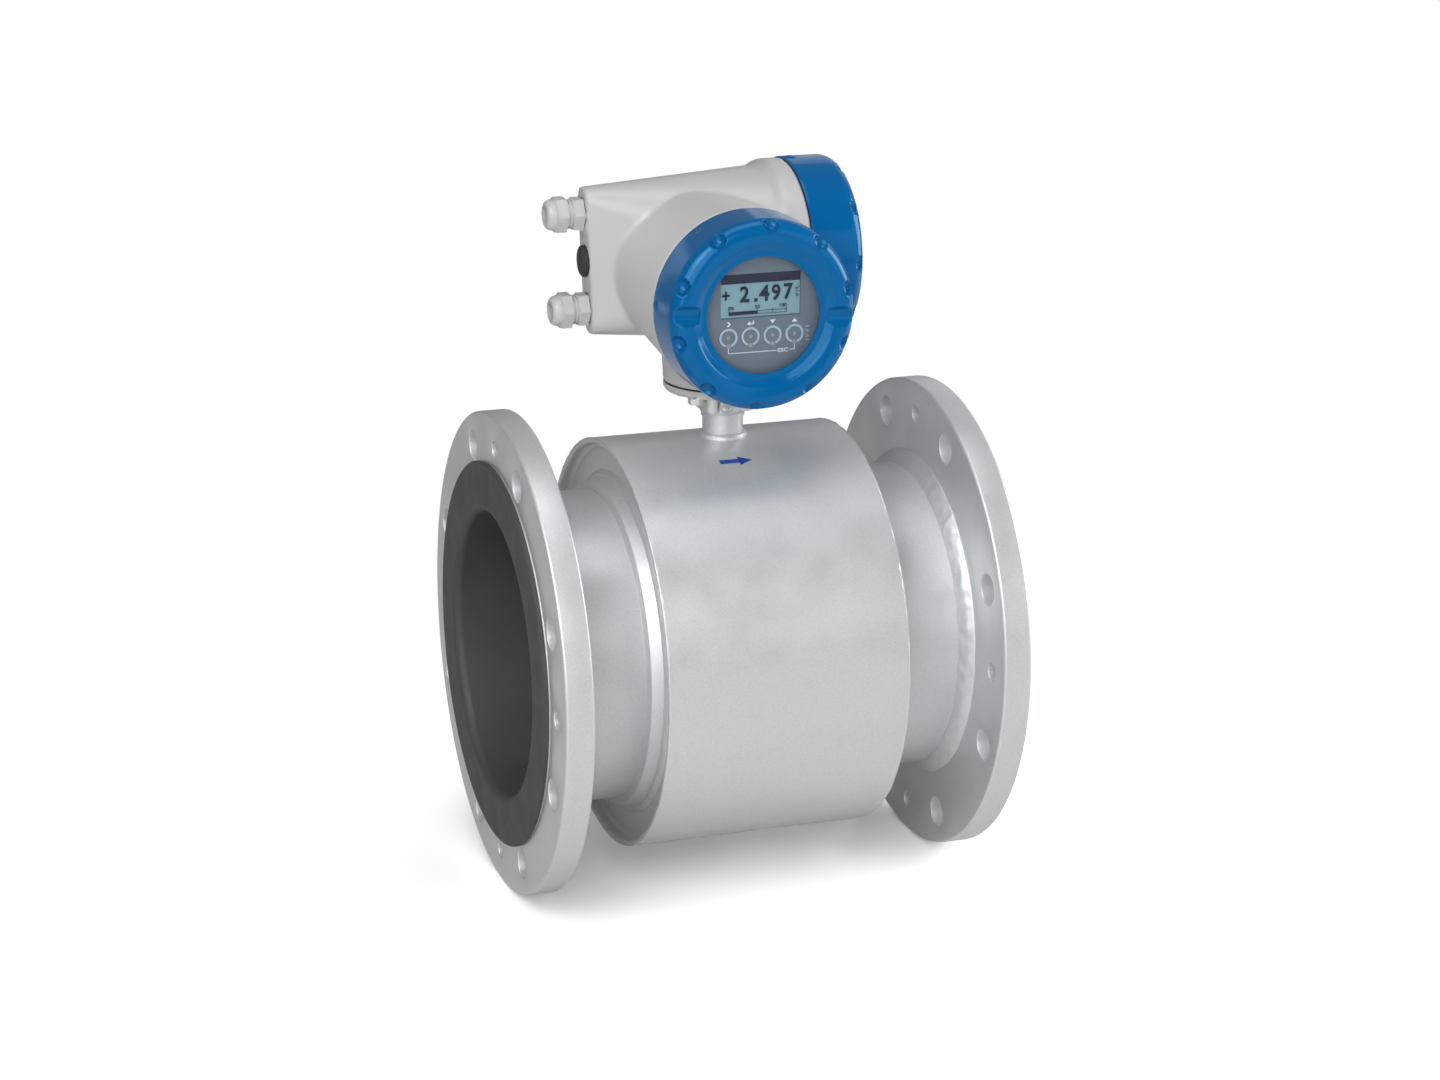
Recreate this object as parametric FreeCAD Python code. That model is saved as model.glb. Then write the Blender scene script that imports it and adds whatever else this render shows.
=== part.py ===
import FreeCAD, Part
import math
import os

# Electromagnetic flow meter for a nominal 200 mm line, compact build: a rubber lined
# measuring tube with flanged ends, field coils and electrodes under a welded casing,
# and a two-compartment signal converter on a short neck.
# Frame: millimetres, +X along the flow, +Z up, origin on the pipe axis at mid length.
# The display looks along -Y.

V = FreeCAD.Vector
X_AXIS = V(1, 0, 0)
Y_AXIS = V(0, 1, 0)
Z_AXIS = V(0, 0, 1)

# ---------------------------------------------------------------- clearances
SEAT_GAP = 0.15          # round pieces that seat on each other without moving
TURN_GAP = 0.35          # round pieces that turn or slide on each other
COVER_GAP = 2.0          # room round the terminal cover and its lugs
FACE_GAP = 0.05          # flat faces that rest on each other across a moving joint

# ---------------------------------------------------------------- measuring tube and flanges
RIM_SPAN = 332.2         # between the outer faces of the two flange rims
RIM_T = 20.2             # flange rim thickness
FLANGE_R = 170.0
FACE_MARGIN = 36.0       # from the rim in to the edge of the raised face
RAISED_R = FLANGE_R - FACE_MARGIN
RAISED_H = 1.6
BOLT_MARGIN = 22.5       # from the rim in to the bolt circle
BOLT_PCD = 2 * (FLANGE_R - BOLT_MARGIN)
BOLT_COUNT = 8
BOLT_R = 11.0
JACK_PCD = BOLT_PCD - 0.2     # small holes between the bolts
JACK_COUNT = 4
JACK_R = 6.25
TUBE_R = 109.55
TUBE_WALL = 5.9
LINER_WALL = 3.65
BORE_R = TUBE_R - TUBE_WALL - LINER_WALL
LINER_FLARE_R = RAISED_R + 1.5
LINER_FLARE_T = 3.0
LINER_ENTRY_R = 6.0      # rounding from the sealing face into the bore
WELD_LEG = 9.0           # fillet weld behind each flange

# ---------------------------------------------------------------- coil casing
COIL_SPACE = 35.45       # from the tube out to the outside of the casing
CASING_R = TUBE_R + COIL_SPACE
CASING_WALL = 3.0
CASING_LEN = 173.0
END_RECESS = 8.0         # end plates sit back inside the shell
END_T = 4.0
COLLAR_R = TUBE_R + 9.45
COLLAR_TIP_R = TUBE_R + 5.45
COLLAR_LEN = 13.0
SEAM_BEAD = 6.5          # weld between shell and end plate

# ---------------------------------------------------------------- magnetic circuit
SHOE_T = 3.0
SHOE_HALF_X = 40.0
SHOE_HALF_DEG = 35.0
CORE_R = 18.0
COIL_OUT_R = 50.0
COIL_T = 16.0
YOKE_R = CASING_R - 11.0      # inside radius of the return band
YOKE_T = 2.5
YOKE_HALF_X = 42.0

# ---------------------------------------------------------------- electrodes
ELECTRODE_HEAD_R = 8.0
ELECTRODE_HEAD_T = 1.5
ELECTRODE_SHAFT_R = 3.0
ELECTRODE_LEN = 26.0
BUSH_R = 6.9
BUSH_FLANGE_R = 11.0
BUSH_FLANGE_T = 4.0
ELECTRODE_NUT_AF = 10.0
ELECTRODE_NUT_T = 5.0

# ---------------------------------------------------------------- neck
NECK_R = 14.3
NECK_BORE_R = 10.0
NECK_BEAD = 3.2
NECK_RING_Z = CASING_R + 14.5
NECK_RING_T = 2.5
NECK_RING_R = 15.3
BOSS_HALF = 17.6
BOSS_Z = CASING_R + 20.0
PAD_HALF_X = 30.0
PAD_HALF_Y = 20.0
PAD_T = 3.0
NECK_SCREW_X = 24.0
NECK_SCREW_Y = 13.0
NECK_SCREW_R = 3.0
NECK_SCREW_AF = 10.0
NECK_SCREW_HEAD_T = 4.5
GROUND_X = -3.0          # earth screw on the front of the boss
GROUND_Z = CASING_R + 25.0
POTTING_Z = CASING_R + 5.0
POTTING_T = 14.0

# ---------------------------------------------------------------- converter base
SOCKET_R = 41.8          # at its seam with the base plate
SOCKET_DRAFT = 3.0       # degrees
BASE_Z = CASING_R + 34.4      # under the base plate
BASE_T = 5.2
BASE_CHAMFER = 1.2
BASE_SEAL_T = 0.8
SOCKET_BORE_R = 33.5
SOCKET_ROOF_Z = BASE_Z + 26.6
BASE_SCREW_PCD = 75.2
BASE_SCREW_R = 2.0

# ---------------------------------------------------------------- display side (axis along Y, x = 0)
FRONT_Z = BASE_Z + 69.1
FRONT_JOINT_Y = -47.7    # where the display cover meets the housing
FRONT_COVER_R = 66.7
FRONT_COVER_H = 40.3
FRONT_TAPER = 0.9        # the cover is this much smaller at its front edge
FRONT_SPIGOT_R = 61.0
FRONT_BORE_R = 50.0
FRONT_BACK_Y = 6.0       # the front tube leans and narrows back to this section
FRONT_BACK_X = -25.0
FRONT_BACK_Z = FRONT_Z + 18.0
FRONT_BACK_R = 54.0
COVER_TURN = 4.0         # degrees, where the display cover's thread comes to rest
WINDOW_R = 46.0
WINDOW_OPEN_R = 40.2
WINDOW_T = 4.6
WINDOW_LIP_T = 1.3
BEZEL_OUT_R = 49.6       # outer edge of the recess round the window
BEZEL_DEPTH = 4.0

# ---------------------------------------------------------------- terminal side (axis along X)
REAR_Y = 20.0
REAR_Z = FRONT_Z + 21.3
REAR_JOINT_X = 50.6      # where the terminal cover meets the housing
REAR_COVER_R = 65.2
REAR_COVER_H = 38.5
REAR_TAPER = 0.2
REAR_COLLAR_R = 64.4
REAR_SPIGOT_R = 58.6
REAR_BORE_R = 53.6
REAR_COLLAR_LEN = 14.5
REAR_STEP = 4.2          # body is this much smaller than the collar
REAR_STEP_LEN = 9.0

# ---------------------------------------------------------------- cable end of the rear body
END_X = -93.9
END_Z = REAR_Z + 1.1
END_HALF_Y = 11.4
END_HALF_Z = 51.5
END_CORNER_R = 10.0
END_LEAN = 0.046         # the end face leans, foot further along +X
END_WALL = 6.0
BODY_WALL = 4.0
ENTRY_PITCH = 33.6
ENTRY_R = 10.2
ENTRY_PAD_R = 11.6
ENTRY_PAD_H = 0.8

# ---------------------------------------------------------------- covers
COVER_WALL = 5.0
SPIGOT_LEN = 12.0
COVER_ROUND_R = 9.0
DIMPLE_COUNT = 10
DIMPLE_R = 6.0
SLOT_R = 7.5
SLOT_DEPTH = 4.2
LUG_R = 4.5
LOCK_SCREW_R = 2.0
RIM_LIP = 1.6            # wall outside the seal rebate
SEAL_H = 2.4             # rebate in each cover rim that holds the seal
LOCK_H = 7.0             # lock screw height above the joint
LOCK_DEG = 128.0         # lock screw bearing in the cover

# ---------------------------------------------------------------- display unit
FACE_R = 42.4
FACE_T = 2.0
FACE_Y = -77.5           # front of the face plate
LCD_W = 56.7
LCD_H = 29.8
LCD_Z = FRONT_Z + 12.9   # centre
KEY_PITCH = 15.77
KEY_R = 6.5
KEY_Z = FRONT_Z - 15.4
BOARD_R = 46.0
BOARD_T = 1.6
TRAY_R = 49.4
TRAY_WALL = 2.0

# ---------------------------------------------------------------- glands
GLAND_AF = 21.0
GLAND_HEX_T = 7.6
GLAND_THREAD_R = 10.0
GLAND_THREAD_LEN = 8.0
GLAND_NECK_R = 9.4
GLAND_NECK_LEN = 8.4
GLAND_CABLE_R = 6.0
NUT_AF = 23.0
NUT_HEX_T = 8.0
NUT_DOME_T = 5.8
NUT_GAP = 4.4            # neck that shows between hexagon and nut
NUT_TIP_R = 7.0
GROMMET_LEN = 4.6
WASHER_T = 0.3


# ================================================================ helpers
def revolve_x(points):
    """Solid of revolution about the X axis from (x, r) points."""
    wire = Part.makePolygon([V(x, r, 0) for x, r in points + points[:1]])
    return Part.Face(wire).revolve(V(0, 0, 0), X_AXIS, 360)


def revolve_z(points, centre=V(0, 0, 0)):
    """Solid of revolution about a vertical axis from (r, z) points."""
    wire = Part.makePolygon([V(r, 0, z) for r, z in points + points[:1]])
    solid = Part.Face(wire).revolve(V(0, 0, 0), Z_AXIS, 360)
    solid.translate(centre)
    return solid


def ring_x(x0, x1, r_in, r_out):
    """Plain ring along X."""
    return revolve_x([(x0, r_in), (x1, r_in), (x1, r_out), (x0, r_out)])


def ring_z(z0, z1, r_in, r_out):
    """Plain ring along Z."""
    return revolve_z([(r_in, z0), (r_in, z1), (r_out, z1), (r_out, z0)])


def placed_by(shape, move):
    """Copy of a piece after a further move."""
    placed = shape.copy()
    placed.Placement = move.multiply(shape.Placement)
    return placed


def point_along(shape, direction, at):
    """Turn a piece built along +Z so that it points along direction, then move it."""
    return placed_by(shape, FreeCAD.Placement(at, FreeCAD.Rotation(Z_AXIS, direction)))


def mirrored_x(shape):
    """Copy mirrored across the mid plane of the meter."""
    return shape.mirror(V(0, 0, 0), X_AXIS)


def hexagon(af, height):
    """Hexagonal prism standing on z = 0."""
    radius = af / 2 / math.cos(math.pi / 6)
    corners = [V(radius * math.cos(math.radians(a)), radius * math.sin(math.radians(a)), 0)
               for a in range(30, 391, 60)]
    prism = Part.Face(Part.makePolygon(corners)).extrude(V(0, 0, height))
    turned = revolve_z([(0, 0), (radius, 0), (radius, height - radius * 0.13),
                        (radius * 0.87, height), (0, height)])
    return prism.common(turned)


def rounded_rect_wire(half_y, half_z, corner, place):
    """Closed wire of four lines and four arcs, mapped by place(y, z)."""
    edges = []
    c = math.sqrt(0.5) * corner
    for sy, sz in ((1, 1), (-1, 1), (-1, -1), (1, -1)):
        cy = sy * (half_y - corner)
        cz = sz * (half_z - corner)
        on_side = (sy * half_y, cz)
        on_end = (cy, sz * half_z)
        start, stop = (on_side, on_end) if sy * sz > 0 else (on_end, on_side)
        middle = (cy + sy * c, cz + sz * c)
        edges.append((start, middle, stop))
    wire = []
    for i, (start, middle, stop) in enumerate(edges):
        wire.append(Part.Arc(place(*start), place(*middle), place(*stop)).toShape())
        following = edges[(i + 1) % 4][0]
        wire.append(Part.LineSegment(place(*stop), place(*following)).toShape())
    return Part.Wire(wire)


def round_wire(radius, place):
    """Circle split like rounded_rect_wire, so that the two can be lofted edge to edge."""
    part = 2.0

    def at(deg):
        return place(radius * math.cos(math.radians(deg)), radius * math.sin(math.radians(deg)))

    wire = []
    for k in range(4):
        a, b = 90.0 * k + part, 90.0 * (k + 1) - part
        wire.append(Part.Arc(at(a), at((a + b) / 2), at(b)).toShape())
        wire.append(Part.Arc(at(b), at(b + part), at(b + 2 * part)).toShape())
    return Part.Wire(wire)


def around(count, radius, first_deg=0.0):
    """Points of a circular pattern as (u, v) pairs."""
    step = 360.0 / count
    return [(radius * math.cos(math.radians(first_deg + i * step)),
             radius * math.sin(math.radians(first_deg + i * step))) for i in range(count)]


# ================================================================ sensor
FACE_X = RIM_SPAN / 2 + RAISED_H
TUBE_IN_R = TUBE_R - TUBE_WALL
RIM_IN_X = RIM_SPAN / 2 - RIM_T
END_IN_X = CASING_LEN / 2 - END_RECESS - END_T
END_OUT_X = CASING_LEN / 2 - END_RECESS


def measuring_tube():
    """Stainless pipe with two electrode holes on the horizontal axis."""
    tube = ring_x(-FACE_X, FACE_X, TUBE_IN_R, TUBE_R)
    hole = Part.makeCylinder(BUSH_R + SEAT_GAP, 4 * TUBE_R, V(0, -2 * TUBE_R, 0), Y_AXIS)
    return tube.cut(hole)


def outlet_flange():
    """Slip-on flange with raised face, main bolt circle and four small holes."""
    x1 = RIM_SPAN / 2
    c = 1.2
    body = revolve_x([(RIM_IN_X, TUBE_R + SEAT_GAP), (FACE_X, TUBE_R + SEAT_GAP), (FACE_X, RAISED_R),
                      (x1, RAISED_R), (x1, FLANGE_R - c), (x1 - c, FLANGE_R),
                      (RIM_IN_X + c, FLANGE_R), (RIM_IN_X, FLANGE_R - c)])
    drills = [(BOLT_R, p) for p in around(BOLT_COUNT, BOLT_PCD / 2, 180.0 / BOLT_COUNT)]
    drills += [(JACK_R, p) for p in around(JACK_COUNT, JACK_PCD / 2)]
    for radius, (y, z) in drills:
        body = body.cut(Part.makeCylinder(radius, 3 * RIM_T, V(x1 - 2 * RIM_T, y, z), X_AXIS))
    return body


def outlet_flange_weld():
    """Fillet weld with a small step, behind the flange."""
    r0 = TUBE_R + SEAT_GAP
    return revolve_x([(RIM_IN_X, r0), (RIM_IN_X, r0 + WELD_LEG), (RIM_IN_X - 1.6, r0 + WELD_LEG),
                      (RIM_IN_X - 2.2, r0 + WELD_LEG - 1.4), (RIM_IN_X - 5.2, r0 + 5.2),
                      (RIM_IN_X - WELD_LEG, r0 + 1.2), (RIM_IN_X - WELD_LEG, r0)])


def liner():
    """Rubber liner: sleeve with a flared sealing face at both ends, pocketed for the electrodes."""
    out_x = FACE_X + LINER_FLARE_T
    sleeve_r = TUBE_IN_R - SEAT_GAP
    k = LINER_ENTRY_R
    s = k * (1 - math.sqrt(0.5))
    edges = []

    def line(a, b):
        edges.append(Part.LineSegment(V(a[0], a[1], 0), V(b[0], b[1], 0)).toShape())

    def arc(a, m, b):
        edges.append(Part.Arc(V(a[0], a[1], 0), V(m[0], m[1], 0), V(b[0], b[1], 0)).toShape())

    line((-out_x + k, BORE_R), (out_x - k, BORE_R))
    arc((out_x - k, BORE_R), (out_x - s, BORE_R + s), (out_x, BORE_R + k))
    line((out_x, BORE_R + k), (out_x, LINER_FLARE_R - 1))
    line((out_x, LINER_FLARE_R - 1), (out_x - 1, LINER_FLARE_R))
    line((out_x - 1, LINER_FLARE_R), (FACE_X, LINER_FLARE_R))
    line((FACE_X, LINER_FLARE_R), (FACE_X, sleeve_r))
    line((FACE_X, sleeve_r), (-FACE_X, sleeve_r))
    line((-FACE_X, sleeve_r), (-FACE_X, LINER_FLARE_R))
    line((-FACE_X, LINER_FLARE_R), (-out_x + 1, LINER_FLARE_R))
    line((-out_x + 1, LINER_FLARE_R), (-out_x, LINER_FLARE_R - 1))
    line((-out_x, LINER_FLARE_R - 1), (-out_x, BORE_R + k))
    arc((-out_x, BORE_R + k), (-out_x + s, BORE_R + s), (-out_x + k, BORE_R))
    body = Part.Face(Part.Wire(edges)).revolve(V(0, 0, 0), X_AXIS, 360)
    pocket_depth = BORE_R + ELECTRODE_HEAD_T + 0.35
    pocket = Part.makeCylinder(ELECTRODE_HEAD_R + SEAT_GAP, 2 * pocket_depth, V(0, -pocket_depth, 0), Y_AXIS)
    hole = Part.makeCylinder(ELECTRODE_SHAFT_R + SEAT_GAP, 4 * BORE_R, V(0, -2 * BORE_R, 0), Y_AXIS)
    return body.cut(pocket).cut(hole)


def casing_shell():
    """Round coil casing with the wire opening under the neck."""
    half = CASING_LEN / 2
    shell = ring_x(-half, half, CASING_R - CASING_WALL, CASING_R)
    return shell.cut(Part.makeCylinder(NECK_BORE_R, CASING_R, V(0, 0, CASING_R / 2), Z_AXIS))


def outlet_end_plate():
    """Annular plate closing the casing round the pipe."""
    return ring_x(END_IN_X, END_OUT_X, TUBE_R + SEAT_GAP, CASING_R - CASING_WALL - SEAT_GAP)


def outlet_collar():
    """Welded collar that carries the end plate on the pipe."""
    r0 = TUBE_R + SEAT_GAP
    tip = END_OUT_X + COLLAR_LEN
    return revolve_x([(END_OUT_X, r0), (END_OUT_X, COLLAR_R), (tip - 2.0, COLLAR_TIP_R),
                      (tip - 1.4, COLLAR_TIP_R - 0.8), (tip, r0 + 1.0), (tip, r0)])


def outlet_casing_weld():
    """Weld bead between the casing shell and its end plate."""
    r1 = CASING_R - CASING_WALL - SEAT_GAP
    x0 = END_OUT_X
    return revolve_x([(x0, r1), (x0, r1 - SEAM_BEAD), (x0 + 1.6, r1 - SEAM_BEAD * 0.8),
                      (x0 + SEAM_BEAD * 0.8, r1 - 1.6), (x0 + SEAM_BEAD, r1)])


def on_pipe_sector(r_in, r_out, half_x, half_deg):
    """Curved plate on the pipe, centred on +Z."""
    ring = ring_x(-half_x, half_x, r_in, r_out)
    reach = 2 * r_out
    side = reach * math.tan(math.radians(half_deg))
    wedge = Part.Face(Part.makePolygon([V(-half_x, 0, 0), V(-half_x, side, reach),
                                        V(-half_x, -side, reach), V(-half_x, 0, 0)]))
    return ring.common(wedge.extrude(V(2 * half_x, 0, 0)))


def upper_pole_shoe():
    """Curved steel plate that spreads the field over the pipe."""
    r0 = TUBE_R + SEAT_GAP
    return on_pipe_sector(r0, r0 + SHOE_T, SHOE_HALF_X, SHOE_HALF_DEG)


def upper_pole_core():
    """Round core between the pole shoe and the return band."""
    r0 = TUBE_R + SEAT_GAP + SHOE_T
    core = Part.makeCylinder(CORE_R, YOKE_R, V(0, 0, 0), Z_AXIS)
    tube = Part.makeCylinder(r0, 4 * CORE_R, V(-2 * CORE_R, 0, 0), X_AXIS)
    band = Part.makeCylinder(YOKE_R, 4 * CORE_R, V(-2 * CORE_R, 0, 0), X_AXIS)
    return core.common(band).cut(tube)


def upper_field_coil():
    """Saddle coil wound round the pole core and bent to the pipe."""
    r0 = TUBE_R + SEAT_GAP + SHOE_T + SEAT_GAP
    layer = ring_x(-COIL_OUT_R, COIL_OUT_R, r0, r0 + COIL_T)
    column = ring_z(0, YOKE_R, CORE_R + 0.5, COIL_OUT_R)
    return layer.common(column)


def return_yoke():
    """Steel band that closes the magnetic circuit round both coils."""
    return ring_x(-YOKE_HALF_X, YOKE_HALF_X, YOKE_R, YOKE_R + YOKE_T)


def electrode_set(kind):
    """Near and far electrode stack pieces as two solids along Y."""
    head_y = BORE_R + 0.35
    flange_y = TUBE_R + 0.1
    if kind == "electrode":
        stack = revolve_z([(0, head_y), (ELECTRODE_HEAD_R, head_y), (ELECTRODE_HEAD_R, head_y + ELECTRODE_HEAD_T),
                           (ELECTRODE_SHAFT_R, head_y + ELECTRODE_HEAD_T),
                           (ELECTRODE_SHAFT_R, head_y + ELECTRODE_LEN), (0, head_y + ELECTRODE_LEN)])
    elif kind == "bush":
        r0 = ELECTRODE_SHAFT_R + SEAT_GAP
        stack = revolve_z([(r0, TUBE_IN_R + 0.1), (BUSH_R, TUBE_IN_R + 0.1), (BUSH_R, flange_y),
                           (BUSH_FLANGE_R, flange_y), (BUSH_FLANGE_R, flange_y + BUSH_FLANGE_T),
                           (r0, flange_y + BUSH_FLANGE_T)])
    else:
        stack = hexagon(ELECTRODE_NUT_AF, ELECTRODE_NUT_T)
        stack = stack.cut(Part.makeCylinder(ELECTRODE_SHAFT_R + SEAT_GAP, ELECTRODE_NUT_T))
        stack.translate(V(0, 0, flange_y + BUSH_FLANGE_T))
    ends = [point_along(stack, V(0, -1, 0), V(0, 0, 0)), point_along(stack, V(0, 1, 0), V(0, 0, 0))]
    return Part.makeCompound(ends)


# ================================================================ neck
PAD_Z = BASE_Z - PAD_T
NECK_SCREWS = [(sx * NECK_SCREW_X, sy * NECK_SCREW_Y) for sx in (-1, 1) for sy in (-1, 1)]


def prism_z(half_x, half_y, corner, z0, z1):
    """Upright prism with rounded corners."""
    wire = rounded_rect_wire(half_x, half_y, corner, lambda a, b: V(a, b, z0))
    return Part.Face(wire).extrude(V(0, 0, z1 - z0))


def neck():
    """Welded neck: tube with a weld bead, ring, flared boss and screw pad."""
    bead = [(NECK_R + NECK_BEAD * math.cos(math.radians(a)), CASING_R + NECK_BEAD * math.sin(math.radians(a)))
            for a in (0, 25, 50, 75, 90)]
    column = revolve_z([(0, CASING_R - 6), (NECK_R + NECK_BEAD, CASING_R - 6)] + bead + [
                        (NECK_R, NECK_RING_Z), (NECK_RING_R, NECK_RING_Z),
                        (NECK_RING_R, NECK_RING_Z + NECK_RING_T), (NECK_RING_R + 0.3, NECK_RING_Z + NECK_RING_T),
                        (BOSS_HALF - 0.6, BOSS_Z), (BOSS_HALF - 0.6, PAD_Z), (0, PAD_Z)])
    boss = prism_z(BOSS_HALF, BOSS_HALF, 6.0, BOSS_Z, PAD_Z + 0.5)
    for sx in (-1, 1):
        for sy in (-1, 1):
            flute = Part.makeCylinder(2.4, 40, V(sx * BOSS_HALF * 0.45, sy * (BOSS_HALF + 1.2), BOSS_Z - 5), Z_AXIS)
            boss = boss.cut(flute)
    pad = prism_z(PAD_HALF_X, PAD_HALF_Y, 7.0, PAD_Z, BASE_Z)
    body = column.fuse(boss).fuse(pad).removeSplitter()
    body = body.cut(Part.makeCylinder(CASING_R + FACE_GAP, 4 * NECK_R, V(-2 * NECK_R, 0, 0), X_AXIS))
    body = body.cut(Part.makeCylinder(NECK_BORE_R, 2 * CASING_R, V(0, 0, 0), Z_AXIS))
    for x, y in NECK_SCREWS:
        body = body.cut(Part.makeCylinder(NECK_SCREW_R + SEAT_GAP, 20, V(x, y, PAD_Z - 10), Z_AXIS))
    tap = Part.makeCylinder(2.0 + SEAT_GAP, 8.0, V(GROUND_X, -BOSS_HALF, GROUND_Z), Y_AXIS)
    return body.cut(tap)


def neck_screws():
    """Hexagon screws that hold the base plate on the neck pad."""
    head = hexagon(NECK_SCREW_AF, NECK_SCREW_HEAD_T)
    head.rotate(V(0, 0, 0), X_AXIS, 180)
    shank = Part.makeCylinder(NECK_SCREW_R, PAD_T + BASE_T - 0.8, V(0, 0, 0), Z_AXIS)
    screw = head.fuse(shank)
    return Part.makeCompound([screw.translated(V(x, y, PAD_Z)) for x, y in NECK_SCREWS])


def ground_screw():
    """Cross-recess screw of the earth connection on the neck boss."""
    screw = revolve_z([(0, -6.0), (2.0, -6.0), (2.0, 1.0), (4.2, 1.0), (4.2, 2.6), (3.2, 3.6), (0, 3.9)])
    for turn in (0, 90):
        slot = Part.makeBox(4.4, 0.9, 2.2, V(-2.2, -0.45, 2.4))
        slot.rotate(V(0, 0, 0), Z_AXIS, turn)
        screw = screw.cut(slot)
    return point_along(screw, V(0, -1, 0), V(GROUND_X, -BOSS_HALF, GROUND_Z))


def ground_washer():
    """Flat washer under the earth screw."""
    return point_along(ring_z(0, 1.0, 2.0 + SEAT_GAP, 5.4), V(0, -1, 0), V(GROUND_X, -BOSS_HALF, GROUND_Z))


def neck_potting():
    """Cast resin plug that seals the wire way."""
    return Part.makeCylinder(NECK_BORE_R - SEAT_GAP, POTTING_T, V(0, 0, POTTING_Z), Z_AXIS)


# ================================================================ converter housing
SEAM_Z = BASE_Z + BASE_T + BASE_SEAL_T
BASE_SCREWS = around(4, BASE_SCREW_PCD / 2, 45.0)


def base_plate():
    """Chamfered round plate between the neck and the housing socket."""
    top = BASE_Z + BASE_T
    plate = revolve_z([(NECK_BORE_R, BASE_Z), (SOCKET_R - BASE_CHAMFER, BASE_Z),
                       (SOCKET_R, BASE_Z + 1.8 * BASE_CHAMFER), (SOCKET_R, top), (NECK_BORE_R, top)])
    for x, y in NECK_SCREWS:
        plate = plate.cut(Part.makeCylinder(NECK_SCREW_R + SEAT_GAP, 20, V(x, y, BASE_Z - 5), Z_AXIS))
    for x, y in BASE_SCREWS:
        plate = plate.cut(Part.makeCylinder(BASE_SCREW_R + SEAT_GAP, 20, V(x, y, BASE_Z - 5), Z_AXIS))
        plate = plate.cut(Part.makeCylinder(2 * BASE_SCREW_R, 2.6, V(x, y, BASE_Z - 0.4), Z_AXIS))
    return plate


def base_seal():
    """Flat ring seal in the seam under the socket."""
    seal = ring_z(BASE_Z + BASE_T, SEAM_Z, SOCKET_BORE_R + 0.4, SOCKET_R - 0.6)
    for x, y in BASE_SCREWS:
        seal = seal.cut(Part.makeCylinder(BASE_SCREW_R + SEAT_GAP, 9, V(x, y, BASE_Z), Z_AXIS))
    return seal


def base_screws():
    """Countersunk-style screws that pull the base plate to the socket."""
    head = Part.makeCylinder(2 * BASE_SCREW_R - SEAT_GAP, 2.0, V(0, 0, BASE_Z + 0.2), Z_AXIS)
    shank = Part.makeCylinder(BASE_SCREW_R, 12.0, V(0, 0, BASE_Z + 0.2), Z_AXIS)
    screw = head.fuse(shank)
    return Part.makeCompound([screw.translated(V(x, y, 0)) for x, y in BASE_SCREWS])


def end_section(x, inset):
    """Leaning outline of the cable end, or of its inside when inset is a wall thickness."""
    def place(y, z):
        return V(x - END_LEAN * z, REAR_Y + y, END_Z + z)
    corner = min(END_CORNER_R, END_HALF_Y - inset - 0.5)
    return rounded_rect_wire(END_HALF_Y - inset, END_HALF_Z - inset, corner, place)


def round_section(x, radius):
    """Round outline across the rear compartment."""
    return round_wire(radius, lambda y, z: V(x, REAR_Y + y, REAR_Z + z))


def entry_points():
    """Seat plane x and height z of the three cable entries, top to bottom."""
    return [(END_X - END_LEAN * k * ENTRY_PITCH - ENTRY_PAD_H, END_Z + k * ENTRY_PITCH) for k in (1, 0, -1)]


def rear_outer():
    """Rear body: leaning narrow end lofted to a round collar."""
    body_r = REAR_COLLAR_R - REAR_STEP
    step_x = REAR_JOINT_X - REAR_COLLAR_LEN
    body = Part.makeLoft([end_section(END_X, 0), round_section(step_x - REAR_STEP_LEN, body_r)], True, True)
    collar = revolve_z([(0, 0), (body_r, 0), (body_r + 0.5, REAR_STEP_LEN * 0.3),
                        (REAR_COLLAR_R - 0.8, REAR_STEP_LEN * 0.8), (REAR_COLLAR_R, REAR_STEP_LEN + 1.6),
                        (REAR_COLLAR_R, REAR_STEP_LEN + REAR_COLLAR_LEN), (REAR_SPIGOT_R, REAR_STEP_LEN + REAR_COLLAR_LEN),
                        (REAR_SPIGOT_R, REAR_STEP_LEN + REAR_COLLAR_LEN + SPIGOT_LEN),
                        (0, REAR_STEP_LEN + REAR_COLLAR_LEN + SPIGOT_LEN)])
    collar = point_along(collar, X_AXIS, V(step_x - REAR_STEP_LEN, REAR_Y, REAR_Z))
    body = body.fuse(collar)
    for x, z in entry_points():
        body = body.fuse(Part.makeCylinder(ENTRY_PAD_R, 5.0, V(x, REAR_Y, z), X_AXIS))
    return body


def circle_y(x, y, z, radius):
    """Circular wire across the Y direction."""
    return Part.Wire(Part.makeCircle(radius, V(x, y, z), V(0, -1, 0)))


def front_tube():
    """Front tube behind the display cover: a leaning cone that runs into the rear body, with its spigot."""
    cone = Part.makeLoft([circle_y(0, FRONT_JOINT_Y, FRONT_Z, FRONT_COVER_R - 0.5),
                          circle_y(FRONT_BACK_X, FRONT_BACK_Y, FRONT_BACK_Z, FRONT_BACK_R)], True, True)
    spigot = Part.makeCylinder(FRONT_SPIGOT_R, SPIGOT_LEN + 2, V(0, FRONT_JOINT_Y + 2, FRONT_Z), V(0, -1, 0))
    return cone, spigot


def socket():
    """Drafted round socket that stands on the base plate."""
    rise = SOCKET_ROOF_Z + 24 - SEAM_Z
    grow = rise * math.tan(math.radians(SOCKET_DRAFT))
    return revolve_z([(0, SEAM_Z), (SOCKET_R, SEAM_Z), (SOCKET_R + grow, SEAM_Z + rise), (0, SEAM_Z + rise)])


def bore_start_x():
    """Where the round bore of the terminal compartment begins."""
    return REAR_JOINT_X - REAR_COLLAR_LEN - 2 * BODY_WALL - 7.5


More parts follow.
